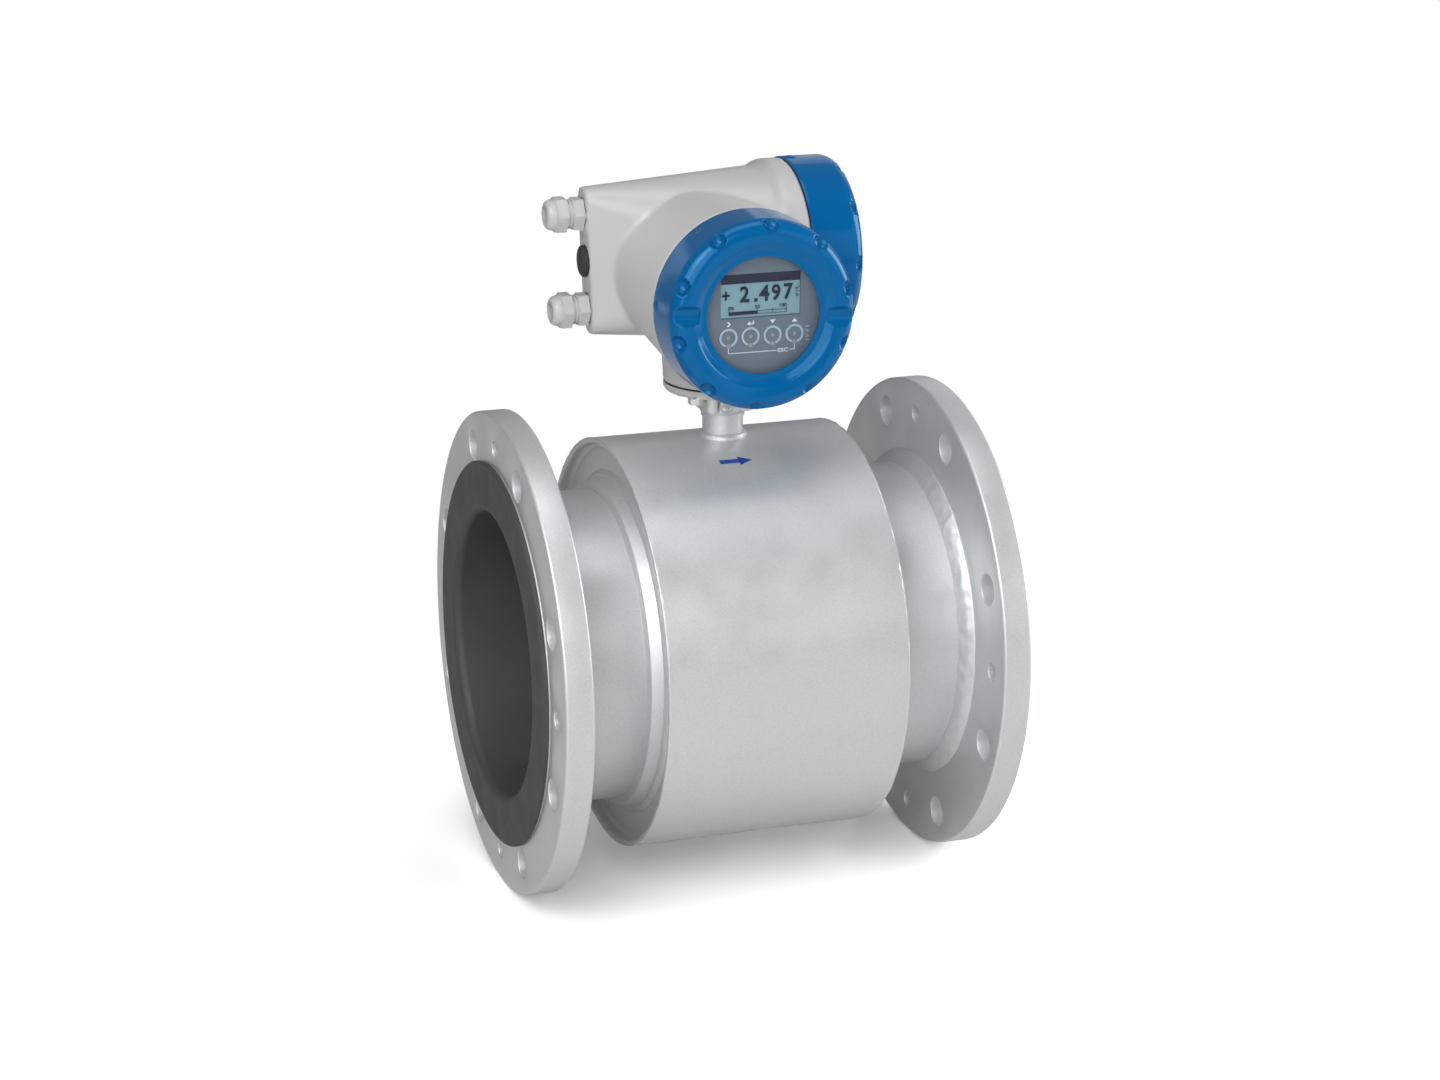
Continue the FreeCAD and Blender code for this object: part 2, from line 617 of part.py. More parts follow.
def housing_hollow():
    """Everything that is taken out of the casting."""
    bore_x = bore_start_x()
    hollow = Part.makeLoft([end_section(END_X + END_WALL, BODY_WALL), round_section(bore_x, REAR_BORE_R)], True, True)
    bore = Part.makeCylinder(REAR_BORE_R, 80, V(bore_x, REAR_Y, REAR_Z), X_AXIS)
    hollow = hollow.fuse(bore)
    partition_y = REAR_Y - REAR_BORE_R - BODY_WALL
    depth = partition_y - FRONT_JOINT_Y + 2 * SPIGOT_LEN
    hollow = hollow.fuse(Part.makeCylinder(FRONT_BORE_R, depth, V(0, partition_y, FRONT_Z), V(0, -1, 0)))
    hollow = hollow.fuse(Part.makeCylinder(SOCKET_BORE_R, SOCKET_ROOF_Z - SEAM_Z + 20, V(0, 0, SEAM_Z - 20), Z_AXIS))
    hollow = hollow.fuse(Part.makeCylinder(NECK_BORE_R, 40, V(0, 0, SOCKET_ROOF_Z - 5), Z_AXIS))
    for x, z in entry_points():
        hollow = hollow.fuse(Part.makeCylinder(ENTRY_R, 14, V(x - 4, REAR_Y, z), X_AXIS))
    for x, y in BASE_SCREWS:
        hollow = hollow.fuse(Part.makeCylinder(BASE_SCREW_R + SEAT_GAP, 12, V(x, y, SEAM_Z - 4), Z_AXIS))
    return hollow


def converter_housing():
    """Cast housing: rear terminal compartment, front electronics tube and base socket."""
    cone, spigot = front_tube()
    outer = rear_outer().fuse(cone).fuse(socket()).fuse(spigot)
    swept = ring_z(0, REAR_COVER_H + SPIGOT_LEN, REAR_SPIGOT_R, REAR_COVER_R + COVER_GAP)
    return outer.cut(to_rear(swept)).cut(housing_hollow())


# ================================================================ covers
def cover_skin(radius, taper, height):
    """Outside profile of a screw cover as (r, h) points, joint plane at h = 0."""
    k = COVER_ROUND_R
    top_r = radius - taper
    steps = [(top_r - k + k * math.cos(math.radians(a)), height - k + k * math.sin(math.radians(a)))
             for a in (0, 22.5, 45, 67.5, 90)]
    return [(radius - 0.6, 0), (radius, 0.6)] + steps


def grip_features(body, radius, taper, height):
    """Cut the ring of dimples and the two wrench slots into a cover."""
    k = COVER_ROUND_R
    pitch_r = radius - taper - k + k * math.sqrt(0.5) + DIMPLE_R * 0.30
    pitch_h = height - k + k * math.sqrt(0.5) + DIMPLE_R * 0.30
    for u, v in around(DIMPLE_COUNT, pitch_r, 90.0):
        body = body.cut(Part.makeSphere(DIMPLE_R, V(u, v, pitch_h)))
    for side in (-1, 1):
        axis_h = height + SLOT_R - SLOT_DEPTH
        slot = Part.makeCylinder(SLOT_R, 40, V(side * (BEZEL_OUT_R - 1), 0, axis_h), V(side, 0, 0))
        body = body.cut(slot)
    return body


def cover_lugs(radius):
    """Two small lugs low on the side wall, in line with the wrench slots."""
    lugs = [Part.makeCylinder(LUG_R, 2.4, V(side * (radius - 1.2), 0, LUG_R + 0.8), V(side, 0, 0)) for side in (-1, 1)]
    return lugs


def display_cover():
    """Screw cover with the window opening, recess ring, dimples and wrench slots."""
    skin = cover_skin(FRONT_COVER_R, FRONT_TAPER, FRONT_COVER_H)
    window_h = FRONT_COVER_H - BEZEL_DEPTH
    seat_h = window_h - WINDOW_LIP_T
    profile = skin + [(BEZEL_OUT_R, FRONT_COVER_H - 0.8), (BEZEL_OUT_R - 3.6, window_h + 0.4),
                      (BEZEL_OUT_R - 5.0, window_h), (WINDOW_OPEN_R, window_h), (WINDOW_OPEN_R, seat_h),
                      (WINDOW_R + SEAT_GAP, seat_h), (WINDOW_R + SEAT_GAP, seat_h - WINDOW_T - 2.0),
                      (FRONT_COVER_R - COVER_WALL - 4.0, seat_h - WINDOW_T - 6.0),
                      (FRONT_COVER_R - COVER_WALL - 4.0, SPIGOT_LEN + 2.0),
                      (FRONT_SPIGOT_R + TURN_GAP, SPIGOT_LEN + 1.0), (FRONT_SPIGOT_R + TURN_GAP, SEAL_H),
                      (FRONT_COVER_R - RIM_LIP, SEAL_H), (FRONT_COVER_R - RIM_LIP, 0.0)]
    body = revolve_z(profile)
    for lug in cover_lugs(FRONT_COVER_R):
        body = body.fuse(lug)
    body = grip_features(body, FRONT_COVER_R, FRONT_TAPER, FRONT_COVER_H)
    return body.cut(lock_hole(FRONT_COVER_R))


def terminal_cover():
    """Closed screw cover of the terminal compartment."""
    skin = cover_skin(REAR_COVER_R, REAR_TAPER, REAR_COVER_H)
    inner_r = REAR_COVER_R - COVER_WALL - 4.0
    profile = skin + [(BEZEL_OUT_R - 4, REAR_COVER_H), (BEZEL_OUT_R - 7, REAR_COVER_H - 1.5),
                      (0, REAR_COVER_H - 1.5), (0, REAR_COVER_H - 1.5 - COVER_WALL),
                      (inner_r - 8, REAR_COVER_H - 1.5 - COVER_WALL), (inner_r, REAR_COVER_H - COVER_WALL - 9.0),
                      (inner_r, SPIGOT_LEN + 2.0), (REAR_SPIGOT_R + TURN_GAP, SPIGOT_LEN + 1.0),
                      (REAR_SPIGOT_R + TURN_GAP, SEAL_H), (REAR_COVER_R - RIM_LIP, SEAL_H), (REAR_COVER_R - RIM_LIP, 0.0)]
    body = revolve_z(profile)
    for lug in cover_lugs(REAR_COVER_R):
        body = body.fuse(lug)
    body = grip_features(body, REAR_COVER_R, REAR_TAPER, REAR_COVER_H)
    return body.cut(lock_hole(REAR_COVER_R))


def lock_hole(radius):
    """Radial hole for a grub screw in a cover wall."""
    c, s = math.cos(math.radians(LOCK_DEG)), math.sin(math.radians(LOCK_DEG))
    return Part.makeCylinder(LOCK_SCREW_R + 0.1, 20, V((radius + 5) * c, (radius + 5) * s, LOCK_H), V(-c, -s, 0))


def lock_screw(radius, spigot_r):
    """Grub screw with hexagon socket, its tip clear of the spigot."""
    c, s = math.cos(math.radians(LOCK_DEG)), math.sin(math.radians(LOCK_DEG))
    tip = spigot_r + TURN_GAP + 0.3
    length = radius - 0.8 - tip
    screw = Part.makeCylinder(LOCK_SCREW_R, length)
    key = hexagon(2.0, 3.0)
    key.translate(V(0, 0, length - 1.6))
    return point_along(screw.cut(key), V(c, s, 0), V(tip * c, tip * s, LOCK_H))


def rim_seal(radius, spigot_r):
    """Square-section ring seal in the joint between a cover and the housing."""
    return ring_z(FACE_GAP, SEAL_H - FACE_GAP, spigot_r + 2 * TURN_GAP, radius - RIM_LIP - TURN_GAP)


def to_front(shape):
    """Place a cover-side piece on the display joint, slots at 3 and 9 o'clock."""
    upright = placed_by(shape, FreeCAD.Placement(V(0, 0, 0), FreeCAD.Rotation(Z_AXIS, -COVER_TURN)))
    return placed_by(upright, FreeCAD.Placement(V(0, FRONT_JOINT_Y, FRONT_Z), FreeCAD.Rotation(X_AXIS, 90)))


def to_rear(shape):
    """Place a cover-side piece on the terminal joint."""
    return placed_by(shape, FreeCAD.Placement(V(REAR_JOINT_X, REAR_Y, REAR_Z), FreeCAD.Rotation(Y_AXIS, 90)))


WINDOW_H = FRONT_COVER_H - BEZEL_DEPTH - WINDOW_LIP_T - WINDOW_T


def display_window():
    """Glass disc with a chamfered edge."""
    top = WINDOW_H + WINDOW_T
    return revolve_z([(0, WINDOW_H), (WINDOW_R, WINDOW_H), (WINDOW_R, top - 0.4), (WINDOW_R - 0.4, top), (0, top)])


def window_retainer():
    """Ring that clamps the window in the cover."""
    return ring_z(WINDOW_H - 2.0, WINDOW_H, WINDOW_R - 3.0, WINDOW_R)


# ================================================================ electronics
def disc_y(y_front, thickness, radius):
    """Disc across the display axis, its front face at y_front."""
    return Part.makeCylinder(radius, thickness, V(0, y_front, FRONT_Z), Y_AXIS)


TRAY_BACK_Y = REAR_Y - REAR_BORE_R - BODY_WALL
BOARD_Y = FACE_Y + FACE_T + 6.0


def face_plate():
    """Operating panel with the openings for the display and four optical keys."""
    plate = disc_y(FACE_Y, FACE_T, FACE_R)
    opening = Part.makeBox(LCD_W, 3 * FACE_T, LCD_H, V(-LCD_W / 2, FACE_Y - FACE_T, LCD_Z - LCD_H / 2))
    plate = plate.cut(opening)
    for i in range(4):
        centre = V((i - 1.5) * KEY_PITCH, FACE_Y - FACE_T, KEY_Z)
        plate = plate.cut(Part.makeCylinder(KEY_R, 3 * FACE_T, centre, Y_AXIS))
    return plate


def display_module():
    """Liquid crystal panel behind the face plate opening."""
    inset = 0.4
    panel = Part.makeBox(LCD_W - 2 * SEAT_GAP, FACE_T + 1.0, LCD_H - 2 * SEAT_GAP,
                         V(-LCD_W / 2 + SEAT_GAP, FACE_Y + inset, LCD_Z - LCD_H / 2 + SEAT_GAP))
    frame = Part.makeBox(LCD_W + 5, BOARD_Y - FACE_Y - FACE_T, LCD_H + 6,
                         V(-LCD_W / 2 - 2.5, FACE_Y + FACE_T, LCD_Z - LCD_H / 2 - 3))
    return panel.fuse(frame)


def optical_keys():
    """Four optical key lenses set flush in the face plate."""
    lens = revolve_z([(0, 0), (KEY_R - SEAT_GAP, 0), (KEY_R - SEAT_GAP, FACE_T - 0.4), (KEY_R - 1, FACE_T - 0.1),
                      (0, FACE_T - 0.1)])
    stem = Part.makeCylinder(2.0, BOARD_Y - FACE_Y - FACE_T + 0.2, V(0, 0, 0.2), V(0, 0, -1))
    key = lens.fuse(stem)
    place = FACE_Y + FACE_T
    return Part.makeCompound([point_along(key, V(0, -1, 0), V((i - 1.5) * KEY_PITCH, place, KEY_Z)) for i in range(4)])


def display_board():
    """Round printed board behind the display."""
    return disc_y(BOARD_Y, BOARD_T, BOARD_R)


def electronics_tray():
    """Open plastic tub that holds the boards, with four screw posts up to the display board."""
    depth = TRAY_BACK_Y - BOARD_Y - BOARD_T - FACE_GAP
    rim = 4.0
    tub = revolve_z([(0, 0), (TRAY_R, 0), (TRAY_R, depth - rim), (BOARD_R - 1.0, depth), (BOARD_R - 3.0, depth),
                     (TRAY_R - TRAY_WALL, depth - rim - 2.0), (TRAY_R - TRAY_WALL, TRAY_WALL), (0, TRAY_WALL)])
    return point_along(tub, V(0, -1, 0), V(0, TRAY_BACK_Y - FACE_GAP, FRONT_Z))


def power_board():
    """Board with the supply transformer and capacitors, on the floor of the tub."""
    y = TRAY_BACK_Y - FACE_GAP - TRAY_WALL
    board = Part.makeCylinder(TRAY_R - TRAY_WALL - 2.0, BOARD_T, V(0, y, FRONT_Z), V(0, -1, 0))
    block = Part.makeBox(26, 16, 22, V(-34, y - BOARD_T - 16, FRONT_Z - 8))
    board = board.fuse(block)
    for x in (2, 16, 30):
        board = board.fuse(Part.makeCylinder(5.5, 15, V(x, y - BOARD_T, FRONT_Z + 6), V(0, -1, 0)))
    chip = Part.makeBox(14, 2.0, 14, V(4, y - BOARD_T - 2.0, FRONT_Z - 22))
    return board.fuse(chip)


def tray_screws():
    """Long screws that hold face plate, display board and tub together."""
    y0 = FACE_Y + FACE_T
    screws = []
    for x, z in around(4, BOARD_R - 6.0):
        post = Part.makeCylinder(1.5, BOARD_Y - y0, V(x, y0, FRONT_Z + z), Y_AXIS)
        screws.append(post)
    return Part.makeCompound(screws)


CARRIER_DEPTH = 6.0      # the carrier sits this far inside the round bore


def terminal_carrier():
    """Insulating plate across the terminal compartment with a cable gap below and a lead hole."""
    plate = Part.makeCylinder(REAR_BORE_R - SEAT_GAP, 2.5, V(carrier_x(), REAR_Y, REAR_Z), X_AXIS)
    gap = Part.makeBox(20, 90, 40, V(carrier_x() - 5, REAR_Y - 45, REAR_Z - REAR_BORE_R - 16))
    return plate.cut(gap)


def carrier_x():
    """Back face of the terminal carrier."""
    return bore_start_x() + CARRIER_DEPTH


TERMINAL_W = 8.0
TERMINAL_COUNT = 4


def terminal_rows():
    """Corner points and lengths of the stepped terminal strips."""
    x0 = carrier_x() + 2.5
    return [(x0, REAR_Z + 14, 20.0), (x0, REAR_Z - 10, 14.0)]


def terminal_strips():
    """Two stepped terminal strips with wire mouths and screw wells."""
    strips = []
    for x0, z0, height in terminal_rows():
        width = TERMINAL_W * TERMINAL_COUNT * 2
        y0 = REAR_Y - width / 2
        side = Part.makePolygon([V(x0, y0, z0), V(x0 + height, y0, z0), V(x0 + height, y0, z0 + 10),
                                 V(x0 + height - 5, y0, z0 + 18), V(x0, y0, z0 + 18), V(x0, y0, z0)])
        strip = Part.Face(side).extrude(V(0, width, 0))
        for i in range(2 * TERMINAL_COUNT):
            y = y0 + TERMINAL_W * (i + 0.5)
            strip = strip.cut(Part.makeBox(9, 4.4, 5, V(x0 + height - 8, y - 2.2, z0 + 2)))
        strips.append(strip)
    return Part.makeCompound(strips)


def terminal_screws():
    """Slotted clamp screws seated in the wire mouths of the terminal strips."""
    screws = []
    for x0, z0, height in terminal_rows():
        for i in range(2 * TERMINAL_COUNT):
            y = REAR_Y - TERMINAL_W * TERMINAL_COUNT + TERMINAL_W * (i + 0.5)
            screws.append(Part.makeCylinder(2.0, 4.0, V(x0 + height - 8, y, z0 + 4.5), X_AXIS))
    return Part.makeCompound(screws)


# ================================================================ glands
def gland_body():
    """Fixed half of a gland: entry thread, hexagon and neck, along +Z."""
    r0 = GLAND_CABLE_R
    turned = revolve_z([(r0, -GLAND_THREAD_LEN), (GLAND_THREAD_R, -GLAND_THREAD_LEN), (GLAND_THREAD_R, 0.5),
                        (GLAND_NECK_R, 0.5), (GLAND_NECK_R, GLAND_HEX_T + GLAND_NECK_LEN),
                        (r0, GLAND_HEX_T + GLAND_NECK_LEN)])
    base = hexagon(GLAND_AF, GLAND_HEX_T).cut(Part.makeCylinder(r0, GLAND_HEX_T))
    body = turned.fuse(base)
    for k in range(2):
        z = GLAND_HEX_T + 0.9 + 2.0 * k
        body = body.fuse(ring_z(z, z + 1.1, GLAND_NECK_R - 0.5, GLAND_NECK_R + 0.7))
    return body


NUT_Z = GLAND_HEX_T + NUT_GAP


def gland_nut():
    """Domed clamping nut of a gland."""
    bore_r = GLAND_NECK_R + TURN_GAP
    top = NUT_HEX_T + NUT_DOME_T
    outer = NUT_AF / 2 + 0.9
    dome = []
    for a in (0, 18, 36, 54, 72):
        dome.append((NUT_TIP_R + 1.2 + (outer - 1.6 - NUT_TIP_R - 1.2) * math.cos(math.radians(a)),
                     NUT_HEX_T + (NUT_DOME_T - 0.4) * math.sin(math.radians(a))))
    cap = revolve_z([(0, 0), (outer - 0.4, 0), (outer, 0.8), (outer, NUT_HEX_T - 0.6)] + dome
                    + [(NUT_TIP_R + 0.8, top), (0, top)])
    hexed = hexagon(NUT_AF, NUT_HEX_T).common(Part.makeCylinder(outer + 0.6, NUT_HEX_T))
    skirt = cap.common(Part.makeCylinder(outer, top - NUT_HEX_T + 1, V(0, 0, NUT_HEX_T - 0.5)))
    nut = hexed.fuse(skirt)
    nut = nut.cut(Part.makeCylinder(bore_r, GLAND_NECK_LEN - NUT_GAP + GROMMET_LEN))
    nut = nut.cut(Part.makeCylinder(GLAND_CABLE_R + 0.6, 2 * top))
    nut.translate(V(0, 0, NUT_Z))
    return nut


def gland_grommet():
    """Rubber sealing insert squeezed by the nut."""
    z0 = GLAND_HEX_T + GLAND_NECK_LEN + FACE_GAP
    return ring_z(z0, z0 + GROMMET_LEN - 2 * FACE_GAP, GLAND_CABLE_R + 0.1, GLAND_NECK_R)


def blanking_plug():
    """Round plug with a low domed head and a wide screwdriver slot."""
    plug = revolve_z([(0, -GLAND_THREAD_LEN), (GLAND_THREAD_R, -GLAND_THREAD_LEN), (GLAND_THREAD_R, WASHER_T),
                      (10.8, WASHER_T), (10.8, 1.6), (9.6, 2.4), (6.0, 2.7), (0, 2.8)])
    return plug.cut(Part.makeBox(14, 2.2, 3.0, V(-7, -1.1, 1.4)))


def entry_washer():
    """Thin sealing washer under a hexagon or plug head."""
    return ring_z(0, WASHER_T, GLAND_THREAD_R + SEAT_GAP, 10.8)


def at_entry(shape, index, lift=0.0):
    """Place an entry piece on its seat, pointing out along -X."""
    x, z = entry_points()[index]
    return point_along(shape, V(-1, 0, 0), V(x - lift, REAR_Y, z))


# ================================================================ build
def nodes():
    """Every piece by name."""
    parts = {
        "measuring_tube": measuring_tube(),
        "liner": liner(),
        "outlet_flange": outlet_flange(),
        "outlet_flange_weld": outlet_flange_weld(),
        "casing_shell": casing_shell(),
        "outlet_end_plate": outlet_end_plate(),
        "outlet_collar": outlet_collar(),
        "outlet_casing_weld": outlet_casing_weld(),
        "upper_pole_shoe": upper_pole_shoe(),
        "upper_pole_core": upper_pole_core(),
        "upper_field_coil": upper_field_coil(),
        "return_yoke": return_yoke(),
        "measuring_electrodes": electrode_set("electrode"),
        "electrode_bushes": electrode_set("bush"),
        "electrode_nuts": electrode_set("nut"),
        "neck": neck(),
        "neck_potting": neck_potting(),
        "neck_screws": neck_screws(),
        "ground_screw": ground_screw(),
        "ground_washer": ground_washer(),
        "base_plate": base_plate(),
        "base_seal": base_seal(),
        "base_screws": base_screws(),
        "converter_housing": converter_housing(),
        "display_cover": to_front(display_cover()),
        "display_cover_seal": to_front(rim_seal(FRONT_COVER_R, FRONT_SPIGOT_R)),
        "display_cover_lock_screw": to_front(lock_screw(FRONT_COVER_R, FRONT_SPIGOT_R)),
        "display_window": to_front(display_window()),
        "window_retainer": to_front(window_retainer()),
        "face_plate": face_plate(),
        "display_module": display_module(),
        "optical_keys": optical_keys(),
        "display_board": display_board(),
        "electronics_tray": electronics_tray(),
        "power_board": power_board(),
        "tray_screws": tray_screws(),
        "terminal_cover": to_rear(terminal_cover()),
        "terminal_cover_seal": to_rear(rim_seal(REAR_COVER_R, REAR_SPIGOT_R)),
        "terminal_cover_lock_screw": to_rear(lock_screw(REAR_COVER_R, REAR_SPIGOT_R)),
        "terminal_carrier": terminal_carrier(),
        "terminal_strips": terminal_strips(),
        "terminal_screws": terminal_screws(),
        "blanking_plug": at_entry(blanking_plug(), 1),
        "entry_washers": Part.makeCompound([at_entry(entry_washer(), i) for i in range(3)]),
    }
    for name in ("flange", "flange_weld", "end_plate", "collar", "casing_weld"):
        parts["inlet_" + name] = mirrored_x(parts["outlet_" + name])
    for name in ("pole_shoe", "pole_core", "field_coil"):
        parts["lower_" + name] = parts["upper_" + name].mirror(V(0, 0, 0), Z_AXIS)
    for side, index in (("upper", 0), ("lower", 2)):
        parts[side + "_gland_body"] = at_entry(gland_body(), index, WASHER_T)
        parts[side + "_gland_nut"] = at_entry(gland_nut(), index, WASHER_T)
        parts[side + "_gland_grommet"] = at_entry(gland_grommet(), index, WASHER_T)
    return parts


def main():
    """Write one STEP file per piece."""
    os.makedirs("parts", exist_ok=True)
    for name, shape in nodes().items():
        shape.exportStep("parts/" + name + ".step")


main()
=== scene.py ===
import logging
import math
from dataclasses import dataclass, field
from enum import Enum
from functools import cache

import bmesh
import bpy
from mathutils import Matrix, Vector, noise


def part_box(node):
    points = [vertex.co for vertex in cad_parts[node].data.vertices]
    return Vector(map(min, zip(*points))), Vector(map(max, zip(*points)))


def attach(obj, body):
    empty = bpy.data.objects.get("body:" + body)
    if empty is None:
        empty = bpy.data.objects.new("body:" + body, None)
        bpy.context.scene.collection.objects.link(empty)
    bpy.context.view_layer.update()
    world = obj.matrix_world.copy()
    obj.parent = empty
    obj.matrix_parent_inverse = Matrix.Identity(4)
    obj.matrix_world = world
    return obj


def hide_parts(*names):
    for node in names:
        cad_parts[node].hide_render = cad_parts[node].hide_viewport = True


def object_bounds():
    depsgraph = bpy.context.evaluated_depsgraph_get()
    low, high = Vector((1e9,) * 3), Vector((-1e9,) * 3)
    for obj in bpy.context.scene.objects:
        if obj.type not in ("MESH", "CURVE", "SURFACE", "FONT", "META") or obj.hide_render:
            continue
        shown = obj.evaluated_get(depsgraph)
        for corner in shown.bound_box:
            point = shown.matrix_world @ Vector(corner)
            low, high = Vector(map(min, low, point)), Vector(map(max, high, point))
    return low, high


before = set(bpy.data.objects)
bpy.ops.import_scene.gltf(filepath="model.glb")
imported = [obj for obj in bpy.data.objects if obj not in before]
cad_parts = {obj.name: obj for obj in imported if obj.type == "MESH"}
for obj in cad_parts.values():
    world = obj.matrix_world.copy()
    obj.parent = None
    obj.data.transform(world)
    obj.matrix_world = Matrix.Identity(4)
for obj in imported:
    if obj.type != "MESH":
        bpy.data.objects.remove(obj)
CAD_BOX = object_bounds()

log = logging.getLogger("flow_meter")

MM = 0.001
PER_METRE = 1000.0
Triple = tuple[float, float, float]
Outline = list[tuple[float, float]]
Layers = list[tuple[object, float]]


# ---------------------------------------------------------------- finishes


class Graph:
    """A material's node tree around one Principled shader."""

    def __init__(self, name: str) -> None:
        """Start an empty material.

        Args:
            name: The material's name.
        """
        self.material = bpy.data.materials.new(name)
        self.material.use_nodes = True
        self.nodes = self.material.node_tree.nodes
        self.links = self.material.node_tree.links
        self.shader = self.nodes["Principled BSDF"]

    def put(self, socket: str, value: object) -> None:
        """Set one of the shader's own sockets."""
        self.shader.inputs[socket].default_value = value

    def feed(self, source: object, socket: str) -> None:
        """Link a node's output to one of the shader's sockets."""
        self.links.new(source, self.shader.inputs[socket])

    def node(self, kind: str, values: dict | None = None, feeds: dict | None = None,
             **traits: object) -> object:
        """Add a node.

        Args:
            kind: Its type, without the leading ShaderNode.
            values: Values of its inputs.
            feeds: Sockets that its inputs are linked to.
            traits: Its own settings.

        Returns:
            The node.
        """
        node = self.nodes.new(f"ShaderNode{kind}")
        for name, value in traits.items():
            setattr(node, name, value)
        for name, value in (values or {}).items():
            node.inputs[name].default_value = value
        for name, source in (feeds or {}).items():
            self.links.new(source, node.inputs[name])
        return node

    def place(self, scale: Triple = (1.0, 1.0, 1.0)) -> object:
        """Object coordinates, with the pattern squeezed along each axis by its scale."""
        coords = self.node("TexCoord").outputs["Object"]
        return self.node("Mapping", {"Scale": scale}, {"Vector": coords}).outputs["Vector"]

    def noise(self, scale: float, detail: float = 2.0, rough: float = 0.5,
              stretch: Triple = (1.0, 1.0, 1.0)) -> object:
        """A noise pattern on object coordinates.

        Args:
            scale: Blotches to a metre.
            detail: Octaves.
            rough: How strong the finer octaves are.
            stretch: How much the pattern is squeezed along each axis.

        Returns:
            The factor socket, which runs from 0 to 1.
        """
        values = {"Scale": scale, "Detail": detail, "Roughness": rough}
        return self.node("TexNoise", values, {"Vector": self.place(stretch)}).outputs["Fac"]

    def cells(self, scale: float) -> object:
        """A grey level that is different in each small cell, with so many cells to a metre."""
        cells = self.node("TexVoronoi", {"Scale": scale}, {"Vector": self.place()})
        return self.node("SeparateColor", feeds={"Color": cells.outputs["Color"]}).outputs[0]

    def spread(self, source: object, low: float, high: float,
               start: float = 0.3, stop: float = 0.7) -> object:
        """Carry a pattern from one range to another, clamped.

        Args:
            source: The pattern's socket.
            low: Result at the range's start.
            high: Result at its end.
            start: Where the pattern's range starts.
            stop: Where it ends.

        Returns:
            The result's socket.
        """
        values = {"From Min": start, "From Max": stop, "To Min": low, "To Max": high}
        return self.node("MapRange", values, {"Value": source}).outputs["Result"]

    def blend(self, factor: object, first: tuple, second: tuple) -> object:
        """Mix two colours by a pattern.

        Args:
            factor: The pattern's socket.
            first: Colour where the pattern is 0.
            second: Colour where it is 1.

        Returns:
            The colour socket.
        """
        colours = {"A": (*first, 1.0), "B": (*second, 1.0)}
        return self.node("Mix", colours, {"Factor": factor}, data_type="RGBA").outputs["Result"]

    def shade(self, colour: object, factor: object) -> object:
        """A colour socket, darkened or brightened by a grey one that is 1 for no change."""
        node = self.node("VectorMath", feeds={0: colour, "Scale": factor}, operation="SCALE")
        return node.outputs["Vector"]

    def relief(self, layers: Layers) -> None:
        """Give the surface bumps.

        Args:
            layers: Height patterns, each with its depth in millimetres.
        """
        feeds = {}
        for height, depth in layers:
            values = {"Strength": 1.0, "Distance": depth * MM}
            bump = self.node("Bump", values, {"Height": height, **feeds})
            feeds = {"Normal": bump.outputs["Normal"]}
        self.feed(feeds["Normal"], "Normal")


@dataclass(frozen=True)
class Finish:
    """A plain moulded or painted surface: one colour that drifts a little, and a fine relief."""

    name: str
    colour: Triple
    rough: float = 0.5
    metal: float = 0.0
    drift: float = 0.04
    drift_size: float = 40.0
    grain_size: float = 0.8
    grain_depth: float = 0.004
    coat: float = 0.0
    coat_rough: float = 0.1
    gloss: float = 0.5
    gloss_tint: Triple = (1.0, 1.0, 1.0)

    def tone(self, graph: Graph) -> object:
        """The colour, with the slow drift in it.

        Args:
            graph: The material's nodes.

        Returns:
            The colour socket.
        """
        low = tuple(c * (1.0 - self.drift) for c in self.colour)
        high = tuple(min(1.0, c * (1.0 + self.drift)) for c in self.colour)
        return graph.blend(graph.noise(PER_METRE / self.drift_size, 3.0), low, high)

    def layers(self, graph: Graph) -> Layers:
        """The relief, as height patterns with depths in millimetres."""
        return [(graph.noise(PER_METRE / self.grain_size, 2.0), self.grain_depth)]

    def roughness(self, graph: Graph) -> object:
        """The roughness socket, a little uneven."""
        return graph.spread(graph.noise(PER_METRE / (self.drift_size * 0.4), 3.0),
                            self.rough * 0.88, self.rough * 1.12)

    def material(self) -> bpy.types.Material:
        """The material, made once and shared."""
        return bpy.data.materials.get(self.name) or self.make()

    def make(self) -> bpy.types.Material:
        """Make the material.

        Returns:
            The new material.
        """
        graph = Graph(self.name)
        graph.put("Metallic", self.metal)
        graph.put("Specular IOR Level", self.gloss)
        graph.put("Specular Tint", (*self.gloss_tint, 1.0))
        graph.put("Coat Weight", self.coat)
        graph.put("Coat Roughness", self.coat_rough)
        graph.feed(self.tone(graph), "Base Color")
        graph.feed(self.roughness(graph), "Roughness")
        graph.relief(self.layers(graph))
        return graph.material


@dataclass(frozen=True)
class FlakePaint(Finish):
    """Silver metallic paint: tiny flakes of different brightness over a soft orange peel."""

    flake: float = 0.07
    flake_size: float = 0.5
    peel_size: float = 3.0
    peel_depth: float = 0.03

    def tone(self, graph: Graph) -> object:
        """The drifting colour with flakes in it.

        Args:
            graph: The material's nodes.

        Returns:
            The colour socket.
        """
        cells = graph.cells(PER_METRE / self.flake_size)
        flakes = graph.spread(cells, 1.0 - self.flake, 1.0 + self.flake, 0.0, 1.0)
        return graph.shade(super().tone(graph), flakes)

    def layers(self, graph: Graph) -> Layers:
        """Orange peel, then the fine grain."""
        return [(graph.noise(PER_METRE / self.peel_size, 2.0), self.peel_depth), *super().layers(graph)]


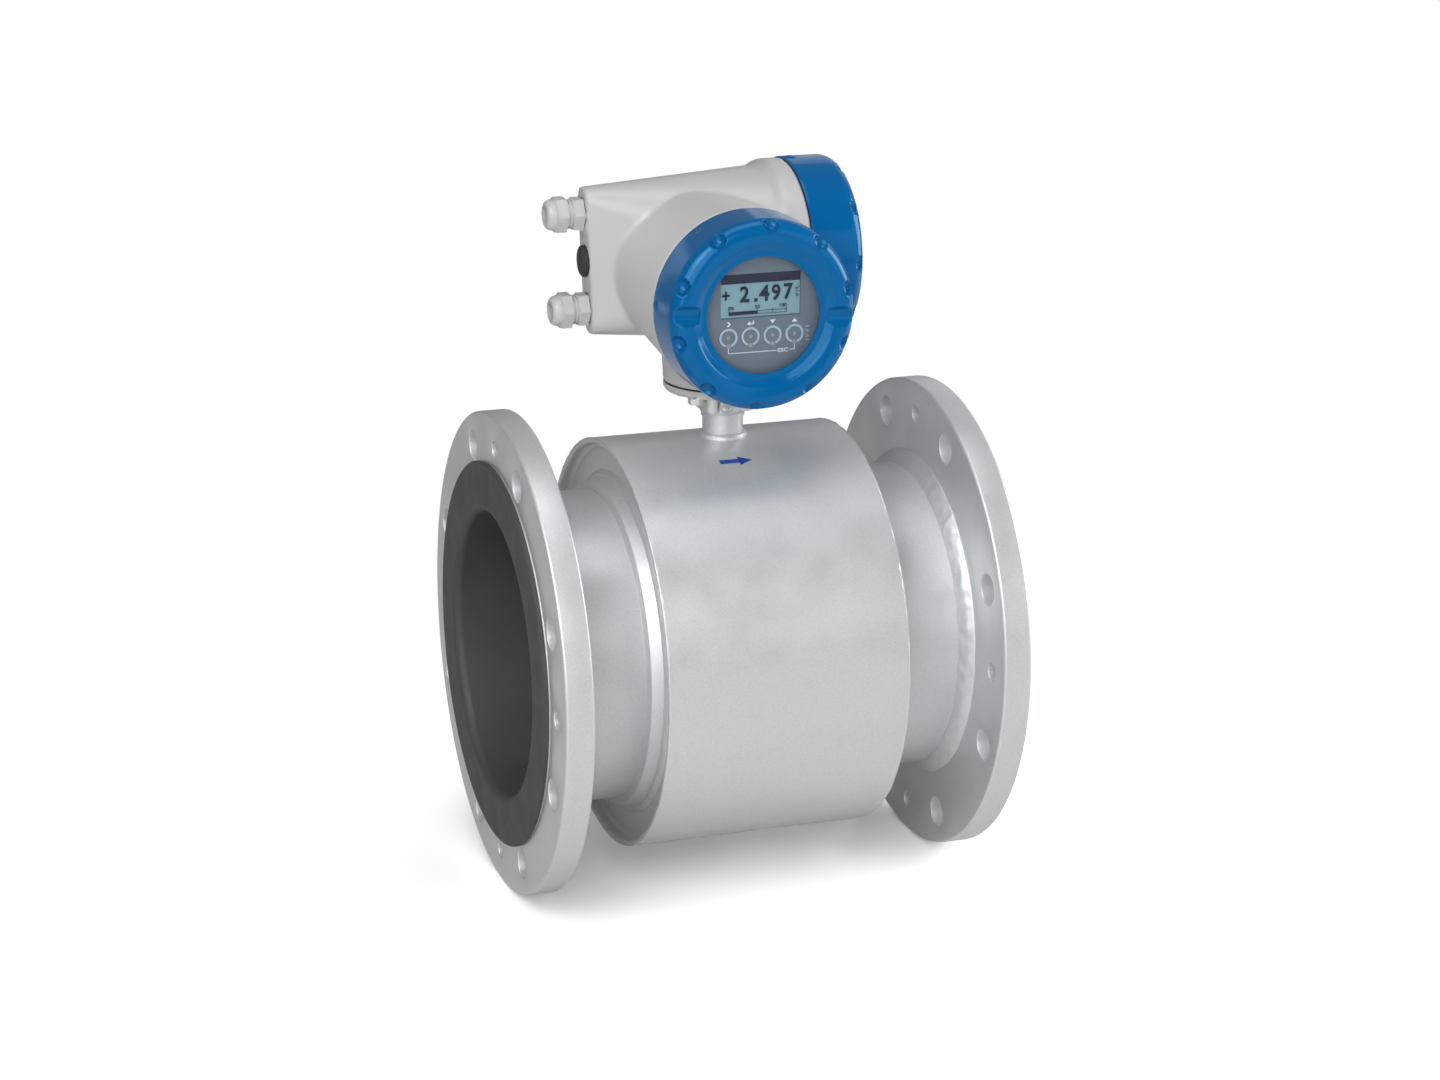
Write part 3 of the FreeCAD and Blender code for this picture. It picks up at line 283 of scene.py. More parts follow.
@dataclass(frozen=True)
class TurnedMetal(Finish):
    """Bare metal with fine marks round or along one axis."""

    along: Triple = (1.0, 1.0, 0.05)
    mark_size: float = 0.4

    def layers(self, graph: Graph) -> Layers:
        """Fine marks drawn out along one axis."""
        return [(graph.noise(PER_METRE / self.mark_size, 2.0, 0.5, self.along), self.grain_depth)]


@dataclass(frozen=True)
class Winding(Finish):
    """Enamelled wire laid in close turns."""

    wire: float = 0.9
    uneven: float = 0.4
    depth: float = 0.25

    def layers(self, graph: Graph) -> Layers:
        """Turns of wire seen side by side.

        Args:
            graph: The material's nodes.

        Returns:
            One height pattern with its depth in millimetres.
        """
        values = {"Scale": PER_METRE / self.wire / 6.28, "Distortion": self.uneven}
        turns = graph.node("TexWave", values, {"Vector": graph.place()}, wave_type="RINGS",
                           rings_direction="Z")
        return [(turns.outputs["Fac"], self.depth)]


@dataclass(frozen=True)
class ClearGlass(Finish):
    """A clear pane that only shows its reflections."""

    cover: float = 0.1

    def make(self) -> bpy.types.Material:
        """Make the material.

        Returns:
            The new material.
        """
        graph = Graph(self.name)
        graph.put("Base Color", (*self.colour, 1.0))
        graph.put("Roughness", self.rough)
        graph.put("Alpha", self.cover)
        graph.material.surface_render_method = "BLENDED"
        return graph.material


class Look(Enum):
    """Every finish on the meter."""

    SILVER = FlakePaint("silver_paint", (0.635, 0.65, 0.65), rough=0.42, metal=0.55, drift=0.03,
                        drift_size=60.0, coat=0.15, coat_rough=0.35)
    CAST = Finish("cast_paint", (0.52, 0.52, 0.515), rough=0.38, drift=0.02, drift_size=50.0,
                  grain_size=1.4, grain_depth=0.02, coat=0.25, coat_rough=0.25)
    BLUE = Finish("blue_paint", (0.0, 0.108, 0.315), rough=0.12, drift=0.02, grain_size=3.0,
                  grain_depth=0.006, gloss=0.5, gloss_tint=(0.3, 0.68, 1.0))
    LINER = Finish("hard_rubber", (0.052, 0.052, 0.052), rough=0.62, drift=0.1, drift_size=70.0,
                   grain_size=0.5, grain_depth=0.01)
    SEAL = Finish("seal_rubber", (0.03, 0.03, 0.03), rough=0.6)
    GLASS = ClearGlass("clear_glass", (0.05, 0.06, 0.07), rough=0.03, cover=0.06)
    PANEL = Finish("panel_print", (0.155, 0.2, 0.26), rough=0.45, drift=0.02,
                   grain_size=0.4, grain_depth=0.002)
    SCREEN = Finish("screen_field", (0.24, 0.42, 0.48), rough=0.35, drift=0.03,
                    grain_size=0.3, grain_depth=0.001)
    # Dark screen ink, also used for the painted shadow lines along the screen's bottom and right edges.
    SCREEN_INK_AND_PAINTED_SHADOW = Finish("screen_ink_and_painted_shadow", (0.011, 0.02, 0.05), rough=0.4, drift=0.05)
    RING_INK = Finish("ring_ink", (0.42, 0.55, 0.66), rough=0.45)
    WHITE_INK = Finish("white_ink", (0.8, 0.84, 0.88), rough=0.45)
    LENS = Finish("key_lens", (0.05, 0.055, 0.07), rough=0.2, coat=0.3)
    BOARD = Finish("circuit_board", (0.02, 0.16, 0.07), rough=0.35, drift=0.1, drift_size=12.0)
    BLACK = Finish("black_plastic", (0.02, 0.02, 0.021), rough=0.38, grain_size=0.6, grain_depth=0.01)
    RESIN = Finish("cast_resin", (0.03, 0.03, 0.032), rough=0.25)
    NYLON = Finish("grey_nylon", (0.56, 0.56, 0.555), rough=0.34, drift=0.02,
                   grain_size=0.9, grain_depth=0.008)
    COPPER = Winding("copper_wire", (0.5, 0.2, 0.08), rough=0.3, metal=0.9)
    STEEL = TurnedMetal("bare_steel", (0.28, 0.28, 0.29), rough=0.42, metal=1.0, grain_depth=0.01)
    STAINLESS = TurnedMetal("bare_stainless", (0.62, 0.62, 0.61), rough=0.3, metal=1.0, grain_depth=0.008)
    ARROW = Finish("arrow_ink", (0.004, 0.05, 0.3), rough=0.4)


# ---------------------------------------------------------------- meshes


class Axis(Enum):
    """Directions that round pieces turn about."""

    X = (1.0, 0.0, 0.0)
    Y = (0.0, 1.0, 0.0)
    Z = (0.0, 0.0, 1.0)


def add_object(name: str, data: bpy.types.ID) -> bpy.types.Object:
    """Put new data in the scene, at the origin.

    Args:
        name: The object's name.
        data: Its mesh, camera or lamp.

    Returns:
        The object.
    """
    piece = bpy.data.objects.new(name, data)
    bpy.context.scene.collection.objects.link(piece)
    return piece


def even_out(form: bmesh.types.BMesh, verts: list, rounds: int) -> None:
    """Draw some vertices half way to their neighbours.

    Args:
        form: The mesh.
        verts: The vertices.
        rounds: How often.
    """
    for _ in range(rounds):
        bmesh.ops.smooth_vert(form, verts=verts, factor=0.5, use_axis_x=True, use_axis_y=True,
                              use_axis_z=True)


def evaluated_mesh(piece: bpy.types.Object) -> bpy.types.Mesh:
    """A new mesh with the piece's modifiers worked in."""
    return bpy.data.meshes.new_from_object(piece.evaluated_get(bpy.context.evaluated_depsgraph_get()))


class Form:
    """A mesh being made, in millimetres."""

    def __init__(self) -> None:
        """Start with nothing."""
        self.bm = bmesh.new()

    def fresh(self, before: set) -> list:
        """The vertices that were not there before."""
        return [v for v in self.bm.verts if v not in before]

    def move(self, verts: list, matrix: Matrix) -> None:
        """Carry vertices by a matrix."""
        bmesh.ops.transform(self.bm, matrix=matrix, verts=verts)

    def lathe(self, outline: Outline, axis: Axis = Axis.X,
              centre: Triple = (0.0, 0.0, 0.0), steps: int = 128,
              ring: bool = False) -> list:
        """Turn an outline about an axis.

        Args:
            outline: Pairs of a place along the axis and a radius.
            axis: The direction of the axis.
            centre: A point of the axis, from which places along it are counted.
            steps: Facets round the axis.
            ring: Whether the outline closes on itself.

        Returns:
            The new vertices.
        """
        before = set(self.bm.verts)
        points = [self.bm.verts.new((a, 0.0, r)) for a, r in outline]
        edges = [self.bm.edges.new(pair) for pair in zip(points, points[1:])]
        if ring:
            edges.append(self.bm.edges.new((points[-1], points[0])))
        bmesh.ops.spin(self.bm, geom=points + edges, cent=(0, 0, 0), axis=(1, 0, 0), angle=math.tau,
                       steps=steps, use_merge=True)
        verts = self.fresh(before)
        bmesh.ops.remove_doubles(self.bm, verts=verts, dist=0.001)
        verts = self.fresh(before)
        turn = Vector((1, 0, 0)).rotation_difference(Vector(axis.value)).to_matrix().to_4x4()
        self.move(verts, Matrix.Translation(centre) @ turn)
        return verts

    def block(self, low: Triple, high: Triple) -> None:
        """Add a box between two corners.

        Args:
            low: The lowest corner.
            high: The highest corner.
        """
        size = [b - a for a, b in zip(low, high)]
        middle = [(a + b) / 2 for a, b in zip(low, high)]
        place = Matrix.Translation(middle) @ Matrix.Diagonal((*size, 1.0))
        bmesh.ops.create_cube(self.bm, size=1.0, matrix=place)

    def plate(self, corners: Outline, front: float, back: float) -> None:
        """Add a flat shape in the display's plane, given some thickness.

        Args:
            corners: Its corners as pairs of x and z, in order.
            front: Its face's y.
            back: Its back's y.
        """
        face = self.bm.faces.new([self.bm.verts.new((x, front, z)) for x, z in corners])
        made = bmesh.ops.extrude_face_region(self.bm, geom=[face])
        moved = [g for g in made["geom"] if isinstance(g, bmesh.types.BMVert)]
        bmesh.ops.translate(self.bm, verts=moved, vec=(0, back - front, 0))

    def wobble(self, verts: list, amount: float, size: float, seed: float = 0.0) -> None:
        """Push vertices along their normals by a fixed noise.

        Args:
            verts: The vertices.
            amount: The furthest push.
            size: The size of the lumps.
            seed: Shifts the pattern.
        """
        self.bm.normal_update()
        pushed = [(v, v.co + v.normal * amount * noise.noise(v.co / size + Vector((seed, seed, seed))))
                  for v in verts]
        for v, co in pushed:
            v.co = co

    def settle(self, name: str, look: Look, body: str, stands_for: tuple[str, ...] = (),
               crease: float = 35.0) -> None:
        """Make the finished piece.

        Args:
            name: The piece's name.
            look: Its finish.
            body: The body it moves with.
            stands_for: CAD nodes it is shown in place of.
            crease: Edges sharper than this, in degrees, stay sharp.
        """
        bmesh.ops.recalc_face_normals(self.bm, faces=self.bm.faces[:])
        bmesh.ops.scale(self.bm, vec=(MM, MM, MM), verts=self.bm.verts[:])
        mesh = bpy.data.meshes.new(name)
        self.bm.to_mesh(mesh)
        self.bm.free()
        mesh.shade_smooth()
        mesh.set_sharp_from_angle(angle=math.radians(crease))
        mesh.materials.append(look.value.material())
        piece = add_object(name, mesh)
        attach(piece, body)
        if stands_for:
            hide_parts(*stands_for)
        log.info("piece %s: %d faces on %s", name, len(mesh.polygons), body)


def contour(corners: list[Triple], step: float) -> Outline:
    """A smooth outline through rounded corners.

    Args:
        corners: Each corner as two coordinates and the length that its rounding takes off each side.
        step: The distance between points, on straight runs and on roundings.

    Returns:
        The outline's points.
    """
    out = []
    last = len(corners) - 1
    for i, (a, b, cut) in enumerate(corners):
        here = Vector((a, b))
        if cut <= 0.0 or i in (0, last):
            stops = [here]
        else:
            back = Vector(corners[i - 1][:2]) - here
            ahead = Vector(corners[i + 1][:2]) - here
            start = here + back.normalized() * min(cut, back.length * 0.5)
            stop = here + ahead.normalized() * min(cut, ahead.length * 0.5)
            count = max(2, round((here - start).length * 1.6 / step))
            stops = []
            for k in range(count + 1):
                t = k / count
                stops.append(start * (1 - t) ** 2 + here * (2 * t * (1 - t)) + stop * t ** 2)
        if out:
            run = stops[0] - out[-1]
            parts = max(1, round(run.length / step))
            out += [out[-1] + run * (k / parts) for k in range(1, parts)]
        out += stops
    clean = [out[0]]
    clean += [p for p, q in zip(out[1:], out) if (p - q).length > 1e-4]
    return [(p.x, p.y) for p in clean]


def soft_min(first: float, second: float, width: float) -> float:
    """The lower of two heights, rounded over where they cross.

    Args:
        first: One height.
        second: The other.
        width: How far from the crossing the rounding starts.

    Returns:
        The height.
    """
    share = min(1.0, max(0.0, 0.5 + 0.5 * (second - first) / width))
    return second * (1 - share) + first * share - width * share * (1 - share)


def fade(value: float, start: float, stop: float) -> float:
    """A smooth step from 0 at start to 1 at stop."""
    t = min(1.0, max(0.0, (value - start) / (stop - start)))
    return t * t * (3 - 2 * t)


@cache
def corners_of(node: str) -> tuple[Vector, Vector]:
    """A CAD node's lowest and highest corners, in millimetres."""
    low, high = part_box(node)
    return low / MM, high / MM


def lowest(node: str) -> Vector:
    """The lowest corner of a CAD node's box, in millimetres."""
    return corners_of(node)[0].copy()


def highest(node: str) -> Vector:
    """The highest corner of a CAD node's box, in millimetres."""
    return corners_of(node)[1].copy()


def dress(look: Look, *nodes: str) -> None:
    """Give CAD nodes a finish.

    Args:
        look: The finish.
        nodes: The nodes' names.
    """
    for node in nodes:
        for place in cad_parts[node].material_slots:
            place.material = look.value.material()
    log.info("dressed %s", ", ".join(nodes))


@dataclass(frozen=True)
class HousingCasting:
    """The cast housing: every edge softened, and a wide fillet where its tube runs into the rear body."""

    node: str = "converter_housing"
    look: Look = Look.CAST
    body: str = "meter"
    slot: str = "housing_paint"
    cell: float = 1.3
    rounds: int = 3
    share: float = 0.45
    low: Triple = (-80.0, -42.0, 214.0)
    high: Triple = (49.0, 12.0, 345.0)
    sharp: float = 11.0
    grow: int = 4
    fillet_rounds: int = 7

    def skin(self) -> bmesh.types.BMesh:
        """The solid as one even mesh.

        Returns:
            The mesh, in metres.
        """
        form = bmesh.new()
        form.from_mesh(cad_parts[self.node].data)
        bmesh.ops.remove_doubles(form, verts=form.verts[:], dist=1e-6)
        mesh = bpy.data.meshes.new("raw")
        form.to_mesh(mesh)
        form.free()
        holder = add_object("raw", mesh)
        grid = holder.modifiers.new("grid", "REMESH")
        grid.mode = "VOXEL"
        grid.voxel_size = self.cell * MM
        grid.adaptivity = 0.0
        even = evaluated_mesh(holder)
        out = bmesh.new()
        out.from_mesh(even)
        bpy.data.objects.remove(holder)
        for data in (mesh, even):
            bpy.data.meshes.remove(data)
        return out

    def join_fillet(self, form: bmesh.types.BMesh) -> None:
        """Round the crease between the front tube and the rear body.

        Args:
            form: The even mesh.
        """
        form.normal_update()
        limit = math.cos(math.radians(self.sharp))
        chosen = set()
        for v in form.verts:
            if not all(a < c < b for a, c, b in zip(self.low, v.co / MM, self.high)):
                continue
            mean = sum((e.other_vert(v).co for e in v.link_edges), Vector()) / max(1, len(v.link_edges))
            hollow = (mean - v.co).dot(v.normal) > 0
            if hollow and min(v.normal.dot(e.other_vert(v).normal) for e in v.link_edges) < limit:
                chosen.add(v)
        for _ in range(self.grow):
            chosen |= {e.other_vert(v) for v in list(chosen) for e in v.link_edges}
        even_out(form, list(chosen), self.fillet_rounds)

    def thin(self, piece: bpy.types.Object) -> None:
        """Leave only a share of the triangles.

        Args:
            piece: The piece.
        """
        less = piece.modifiers.new("less", "DECIMATE")
        less.ratio = self.share
        mesh = evaluated_mesh(piece)
        piece.modifiers.clear()
        old = piece.data
        piece.data = mesh
        bpy.data.meshes.remove(old)

    def build(self) -> None:
        """Make the piece in place of its solid."""
        form = self.skin()
        even_out(form, form.verts[:], self.rounds)
        self.join_fillet(form)
        mesh = bpy.data.meshes.new(f"{self.node}_cast")
        form.to_mesh(mesh)
        form.free()
        piece = add_object(mesh.name, mesh)
        self.thin(piece)
        piece.data.materials.clear()
        piece.data.materials.append(self.look.value.material())
        piece.data.shade_smooth()
        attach(piece, self.body)
        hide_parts(self.node)
        log.info("piece %s: %d faces on %s", piece.name, len(piece.data.polygons), self.body)


@dataclass(frozen=True)
class Machined:
    """A turned or sawn piece: its solid with every sharp edge broken."""

    node: str
    edge: float = 0.7
    sharp: float = 40.0
    merge: float = 0.002
    segments: int = 3
    crease: float = 30.0

    def build(self) -> None:
        """Make the piece in place of its solid."""
        form = Form()
        form.bm.from_mesh(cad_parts[self.node].data)
        bmesh.ops.scale(form.bm, vec=(1 / MM,) * 3, verts=form.bm.verts[:])
        bmesh.ops.remove_doubles(form.bm, verts=form.bm.verts[:], dist=self.merge)
        form.bm.normal_update()
        limit = math.radians(self.sharp)
        edges = [e for e in form.bm.edges if len(e.link_faces) == 2 and e.calc_face_angle() > limit]
        bmesh.ops.bevel(form.bm, geom=edges, offset=self.edge, offset_type="OFFSET", profile=0.5,
                        segments=self.segments, affect="EDGES", material=-1, clamp_overlap=False)
        form.settle(f"{self.node}_skin", Look.SILVER, "meter", (self.node,), self.crease)


@dataclass(frozen=True)
class ScrewCover:
    """A cast screw cover: a turned wall and a crowned rim with dimples and wrench slots sunk into it."""

    node: str
    body: str
    out: Triple
    across: Triple
    taper: float
    turn: float = 0.0
    windowed: bool = False
    round_r: float = 10.5
    dimples: int = 10
    dimple_r: float = 6.0
    dimple_seat: float = 9.0
    slot_r: float = 7.5
    slot_depth: float = 4.8
    lug_r: float = 4.6
    lug_h: float = 5.3
    lug_rise: float = 1.2
    lock_deg: float = 128.0
    lock_h: float = 7.0
    lip: float = 1.6
    rebate: float = 2.4
    wall: float = 9.0
    spigot_gap: float = 5.3
    spigot_len: float = 13.0
    recess_r: float = 49.6
    opening_r: float = 40.2
    seam: float = 0.15
    foot_h: float = 12.0
    crown_steps: int = 28
    crown_power: float = 0.94
    dish: float = 1.5
    cap: float = 5.0
    pane_gap: float = 0.15
    steps: int = 480

    @property
    def placing(self) -> Matrix:
        """The matrix from the cover's own frame (out, across, up) to the meter's.

        Returns:
            The matrix, in millimetres.
        """
        low, high = lowest(self.node), highest(self.node)
        out, across = Vector(self.out), Vector(self.across)
        up = out.cross(across)
        seat = (low + high) / 2 - out * self.height / 2
        turned = Matrix((out, across, up)).transposed().to_4x4()
        return Matrix.Translation(seat) @ turned @ Matrix.Rotation(math.radians(-self.turn), 4, "X")

    @property
    def height(self) -> float:
        """From the joint to the front."""
        size = highest(self.node) - lowest(self.node)
        return abs(size.dot(Vector(self.out)))

    @property
    def radius(self) -> float:
        """The wall's radius at the joint."""
        size = highest(self.node) - lowest(self.node)
        return min(size[i] for i in range(3) if abs(self.out[i]) < 0.5) / 2

    def skin(self) -> Outline:
        """The outside, from the joint up the wall and over the crown to the recess.

        Returns:
            The outline's points, as heights and radii.
        """
        h, r, k = self.height, self.radius, self.round_r
        top = r - self.taper
        mid_r = r - self.taper * 0.4
        low = contour([(self.seam, r - self.lip, 0.0), (0.1, r, 0.9), (self.foot_h, mid_r, 0.0)], 0.6)
        wall = contour([(self.foot_h, mid_r, 0.0), (h - k, top, 0.0)], 2.4)
        crown = []
        for i in range(self.crown_steps + 1):
            a = math.pi / 2 * i / self.crown_steps
            crown.append((h - k + k * math.sin(a) ** self.crown_power,
                          top - k + k * math.cos(a) ** self.crown_power))
        return low + wall[1:-1] + crown

    def window_side(self) -> Outline:
        """The recess round the window, the lip over it and the inside.

        Returns:
            The outline's points, as heights and radii.
        """
        h, r = self.height, self.radius
        pane_low, pane_high = lowest("display_window"), highest("display_window")
        seat = h - (pane_low.y - lowest(self.node).y)
        pane_r = (pane_high.z - pane_low.z) / 2 + self.pane_gap
        pane_t = pane_high.y - pane_low.y
        floor = seat + 1.3
        edge = self.recess_r
        fine = contour([(h, r - self.taper - self.round_r, 0.0), (h - 0.7, edge + 0.9, 1.2),
                        (h - 1.3, edge - 0.5, 0.5), (h - 1.7, edge - 0.9, 0.4),
                        (floor + 1.0, edge - 3.4, 0.8), (floor + 0.55, edge - 4.3, 0.4),
                        (floor, edge - 5.2, 0.5), (floor, self.opening_r, 0.5),
                        (seat, self.opening_r, 0.0)], 0.45)
        inside = r - self.wall
        rough = contour([(seat, self.opening_r, 0.0), (seat, pane_r, 0.0), (seat - pane_t - 2.0, pane_r, 0.0),
                         (seat - pane_t - 6.0, inside, 0.0), (self.spigot_len + 1.0, inside, 0.0)], 4.0)
        return fine[1:] + rough[1:]

    def closed_side(self) -> Outline:
        """The shallow dish of a cover with no window, and the inside.

        Returns:
            The outline's points, as heights and radii.
        """
        h, r = self.height, self.radius
        edge = self.recess_r - 4.0
        dish, roof = h - self.dish, h - (self.dish + self.cap)
        fine = contour([(h, r - self.taper - self.round_r, 0.0), (h, edge + 0.3, 1.5),
                        (dish, edge - 3.0, 1.5), (dish, 40.0, 0.0)], 0.6)
        inside = r - self.wall
        rough = contour([(dish, 40.0, 0.0), (dish, 0.0, 0.0), (roof, 0.0, 0.0), (roof, inside - 8.0, 0.0),
                         (h - 14.0, inside, 0.0), (self.spigot_len + 1.0, inside, 0.0)], 8.0)
        return fine[1:] + rough[1:]

    def joint_side(self) -> Outline:
        """The bore that screws over the spigot, and the rebate for the seal.

        Returns:
            The outline's points, as heights and radii.
        """
        bore = self.radius - self.spigot_gap
        return [(self.spigot_len, bore), (self.rebate, bore), (self.rebate, self.radius - self.lip)]

    def sink_dimples(self, p: Vector) -> Vector:
        """Sink the ring of dimples into the crown, each with a slightly raised rim.

        Args:
            p: A point of the skin as (out, across, up).

        Returns:
            Where it goes.
        """
        k = self.dimple_seat
        reach = k - k * math.sqrt(0.5) - self.dimple_r * 0.08
        r0, h0 = self.radius - self.taper - reach, self.height - reach
        pitch = math.tau / self.dimples
        turn = math.atan2(p.z, p.y)
        near = round((turn - math.pi / 2) / pitch) * pitch + math.pi / 2
        axis = Vector((1.0, math.cos(near), math.sin(near))).normalized()
        rel = p - Vector((h0, r0 * math.cos(near), r0 * math.sin(near)))
        rise = rel.dot(axis)
        off = (rel - axis * rise).length
        if off > self.dimple_r + 2.0 or rise < -self.dimple_r - 1.0:
            return p
        bowl = -math.sqrt(max(0.0, self.dimple_r ** 2 - off ** 2))
        gap = rise - bowl
        rim = 0.28 * math.exp(-((gap + 0.75) / 0.75) ** 2)
        return p + axis * (soft_min(rise, bowl, 0.55) - rise + rim)

    def sink_slots(self, p: Vector) -> Vector:
        """Sink the two wrench slots across the crown.

        Args:
            p: A point of the skin as (out, across, up).

        Returns:
            Where it goes.
        """
        if abs(p.z) > self.slot_r + 1.5:
            return p
        inside = max(0.0, self.slot_r ** 2 - p.z ** 2)
        past = 3.0 * max(0, abs(p.z) - self.slot_r)
        floor = self.height + self.slot_r - self.slot_depth - math.sqrt(inside) + past
        return Vector((soft_min(p.x, floor, 0.7), p.y, p.z))

    def raise_lugs(self, p: Vector) -> Vector:
        """Raise the pip low on the wall, and open the hole of the lock screw.

        Args:
            p: A point of the skin as (out, across, up).

        Returns:
            Where it goes.
        """
        r = math.hypot(p.y, p.z)
        off = math.hypot(p.x - self.lug_h, p.z)
        push = self.lug_rise * max(0.0, 1.0 - (off / self.lug_r) ** 2) ** 0.6
        turn = math.radians(self.lock_deg)
        side = -p.y * math.sin(turn) + p.z * math.cos(turn)
        ahead = p.y * math.cos(turn) + p.z * math.sin(turn)
        if ahead > 0:
            push -= 1.3 * (1.0 - fade(math.hypot(p.x - self.lock_h, side), 1.7, 2.6))
        scale = (r + push) / r
        return Vector((p.x, p.y * scale, p.z * scale))

    def build(self) -> None:
        """Make the cover in place of its solid."""
        form = Form()
        inner = self.window_side() if self.windowed else self.closed_side()
        outline = self.skin() + inner + self.joint_side()
        verts = form.lathe(outline, Axis.X, steps=self.steps, ring=True)
        for v in verts:
            r = math.hypot(v.co.y, v.co.z)
            if r > self.radius - 1.0 and 0.5 < v.co.x < self.foot_h + 1.0:
                v.co = self.raise_lugs(v.co)
            elif v.co.x > self.height - self.round_r - 2.0 and r > self.recess_r - 4.2:
                if r > self.radius - self.round_r - self.taper - 4.0:
                    v.co = self.sink_dimples(v.co)
                v.co = self.sink_slots(v.co)
        form.move(form.bm.verts[:], self.placing)
        form.settle(f"{self.node}_cast", Look.BLUE, self.body, (self.node,), crease=50.0)


@dataclass(frozen=True)
class Bead:
    """A hand-laid weld bead round the pipe: a turned outline with lumps in it."""

    name: str
    outline: Outline
    stands_for: tuple[str, ...]
    side: int
    at: float
    lump: float = 0.5
    lump_size: float = 6.0
    fine: float = 0.12
    fine_size: float = 2.4
    steps: int = 420
    smoothings: int = 2

    def build(self) -> None:
        """Make the bead."""
        form = Form()
        outline = [(self.at + self.side * a, r) for a, r in self.outline]
        verts = form.lathe(outline, Axis.X, steps=self.steps)
        form.wobble(verts, self.lump, self.lump_size, 3.1 * self.side)
        form.wobble(verts, self.fine, self.fine_size, 7.7)
        even_out(form.bm, form.bm.verts[:], self.smoothings)
        form.settle(self.name, Look.SILVER, "meter", self.stands_for, crease=80.0)


# ---------------------------------------------------------------- sensor


@dataclass
class Sensor:
    """The flanged pipe, its lining, the coil casing and what is inside."""

    ends: tuple[str, str] = ("inlet", "outlet")
    arrow_from: float = -17.6
    arrow_to: float = 5.8
    arrow_shaft: float = 4.8
    arrow_head: float = 10.4
    arrow_head_len: float = 9.6
    arrow_angle: float = 18.3
    arrow_lift: float = 0.06

    def build(self) -> None:
        """Dress the nodes and add the arrow."""
        for end in self.ends:
            Machined(f"{end}_flange").build()
            dress(Look.SILVER, f"{end}_collar", f"{end}_end_plate")
            self.beads(end)
        dress(Look.SILVER, "casing_shell", "measuring_tube")
        dress(Look.LINER, "liner")
        dress(Look.STEEL, "upper_pole_shoe", "lower_pole_shoe", "upper_pole_core", "lower_pole_core",
              "return_yoke")
        dress(Look.COPPER, "upper_field_coil", "lower_field_coil")
        dress(Look.STAINLESS, "measuring_electrodes", "electrode_nuts")
        dress(Look.BLACK, "electrode_bushes")
        self.flow_arrow()

    def beads(self, end: str) -> None:
        """The weld beads at one end: inside the casing's rim, behind the flange and round the collar's foot.

        Args:
            end: Which end of the meter.
        """
        side = -1 if end == "inlet" else 1
        rim_x, _, rim_r = highest("casing_shell")
        casing = contour([(-1.8, rim_r - 0.9, 0.0), (-0.7, rim_r + 0.25, 0.5), (0.5, rim_r + 0.05, 0.7),
                          (0.7, rim_r - 3.0, 1.1), (-1.0, rim_r - 4.0, 0.8), (-6.0, rim_r - 4.6, 1.6),
                          (-8.3, rim_r - 7.0, 0.0)], 0.55)
        Bead(f"{end}_casing_bead", casing, (f"{end}_casing_weld",), side, side * rim_x, lump=0.6,
             lump_size=4.5).build()
        low, high = lowest(f"{end}_flange_weld"), highest(f"{end}_flange_weld")
        tube_r = highest("measuring_tube").z
        leg = high.z - tube_r
        inner = high.x if side < 0 else low.x
        outer = low.x if side < 0 else high.x
        width = abs(outer - inner)
        fillet = contour([(-width, tube_r - 0.4, 0.0), (-width, tube_r + 0.5, 0.3),
                          (-0.55 * width, tube_r + 0.6 * leg, 3.0), (-0.05 * width, tube_r + leg, 0.4),
                          (0.4, tube_r + leg, 0.0)], 0.6)
        Bead(f"{end}_flange_bead", fillet, (f"{end}_flange_weld",), side, outer, lump=0.5,
             lump_size=5.0).build()

        plate = lowest(f"{end}_end_plate").x if side < 0 else highest(f"{end}_end_plate").x
        foot_r = highest(f"{end}_collar").z
        foot = contour([(-0.3, foot_r + 3.4, 0.0), (0.5, foot_r + 3.0, 0.4), (1.9, foot_r + 1.7, 1.0),
                        (3.6, foot_r - 0.6, 0.6), (3.2, foot_r - 2.0, 0.0)], 0.6)
        Bead(f"{end}_collar_bead", foot, (), side, plate, lump=0.45, lump_size=3.5).build()

    def flow_arrow(self) -> None:
        """Lay the printed arrow that shows which way the flow goes on the casing."""
        radius = highest("casing_shell").z
        form = Form()
        neck = self.arrow_to - self.arrow_head_len
        half, wide = self.arrow_shaft / 2, self.arrow_head / 2
        outline = [(self.arrow_from, -half), (neck, -half), (neck, -wide), (self.arrow_to, 0.0),
                   (neck, wide), (neck, half), (self.arrow_from, half)]
        face = form.bm.faces.new([form.bm.verts.new((x, 0.0, w)) for x, w in outline])
        made = bmesh.ops.extrude_face_region(form.bm, geom=[face])
        outer = [g for g in made["geom"] if isinstance(g, bmesh.types.BMVert)]
        bmesh.ops.translate(form.bm, verts=outer, vec=(0, 1, 0))
        bmesh.ops.subdivide_edges(form.bm, edges=form.bm.edges[:], cuts=3, use_grid_fill=True)
        base = math.radians(self.arrow_angle)
        for v in form.bm.verts:
            turn = base - v.co.z / radius
            reach = radius + 0.01 + self.arrow_lift * v.co.y
            v.co = Vector((v.co.x, -reach * math.sin(turn), reach * math.cos(turn)))
        form.settle("flow_arrow", Look.ARROW, "meter")


# ---------------------------------------------------------------- neck and converter


@dataclass
class Neck:
    """The welded neck under the converter."""

    def build(self) -> None:
        """Dress the nodes."""
        dress(Look.SILVER, "neck")
        dress(Look.RESIN, "neck_potting")
        dress(Look.STAINLESS, "neck_screws", "ground_screw", "ground_washer", "base_screws")


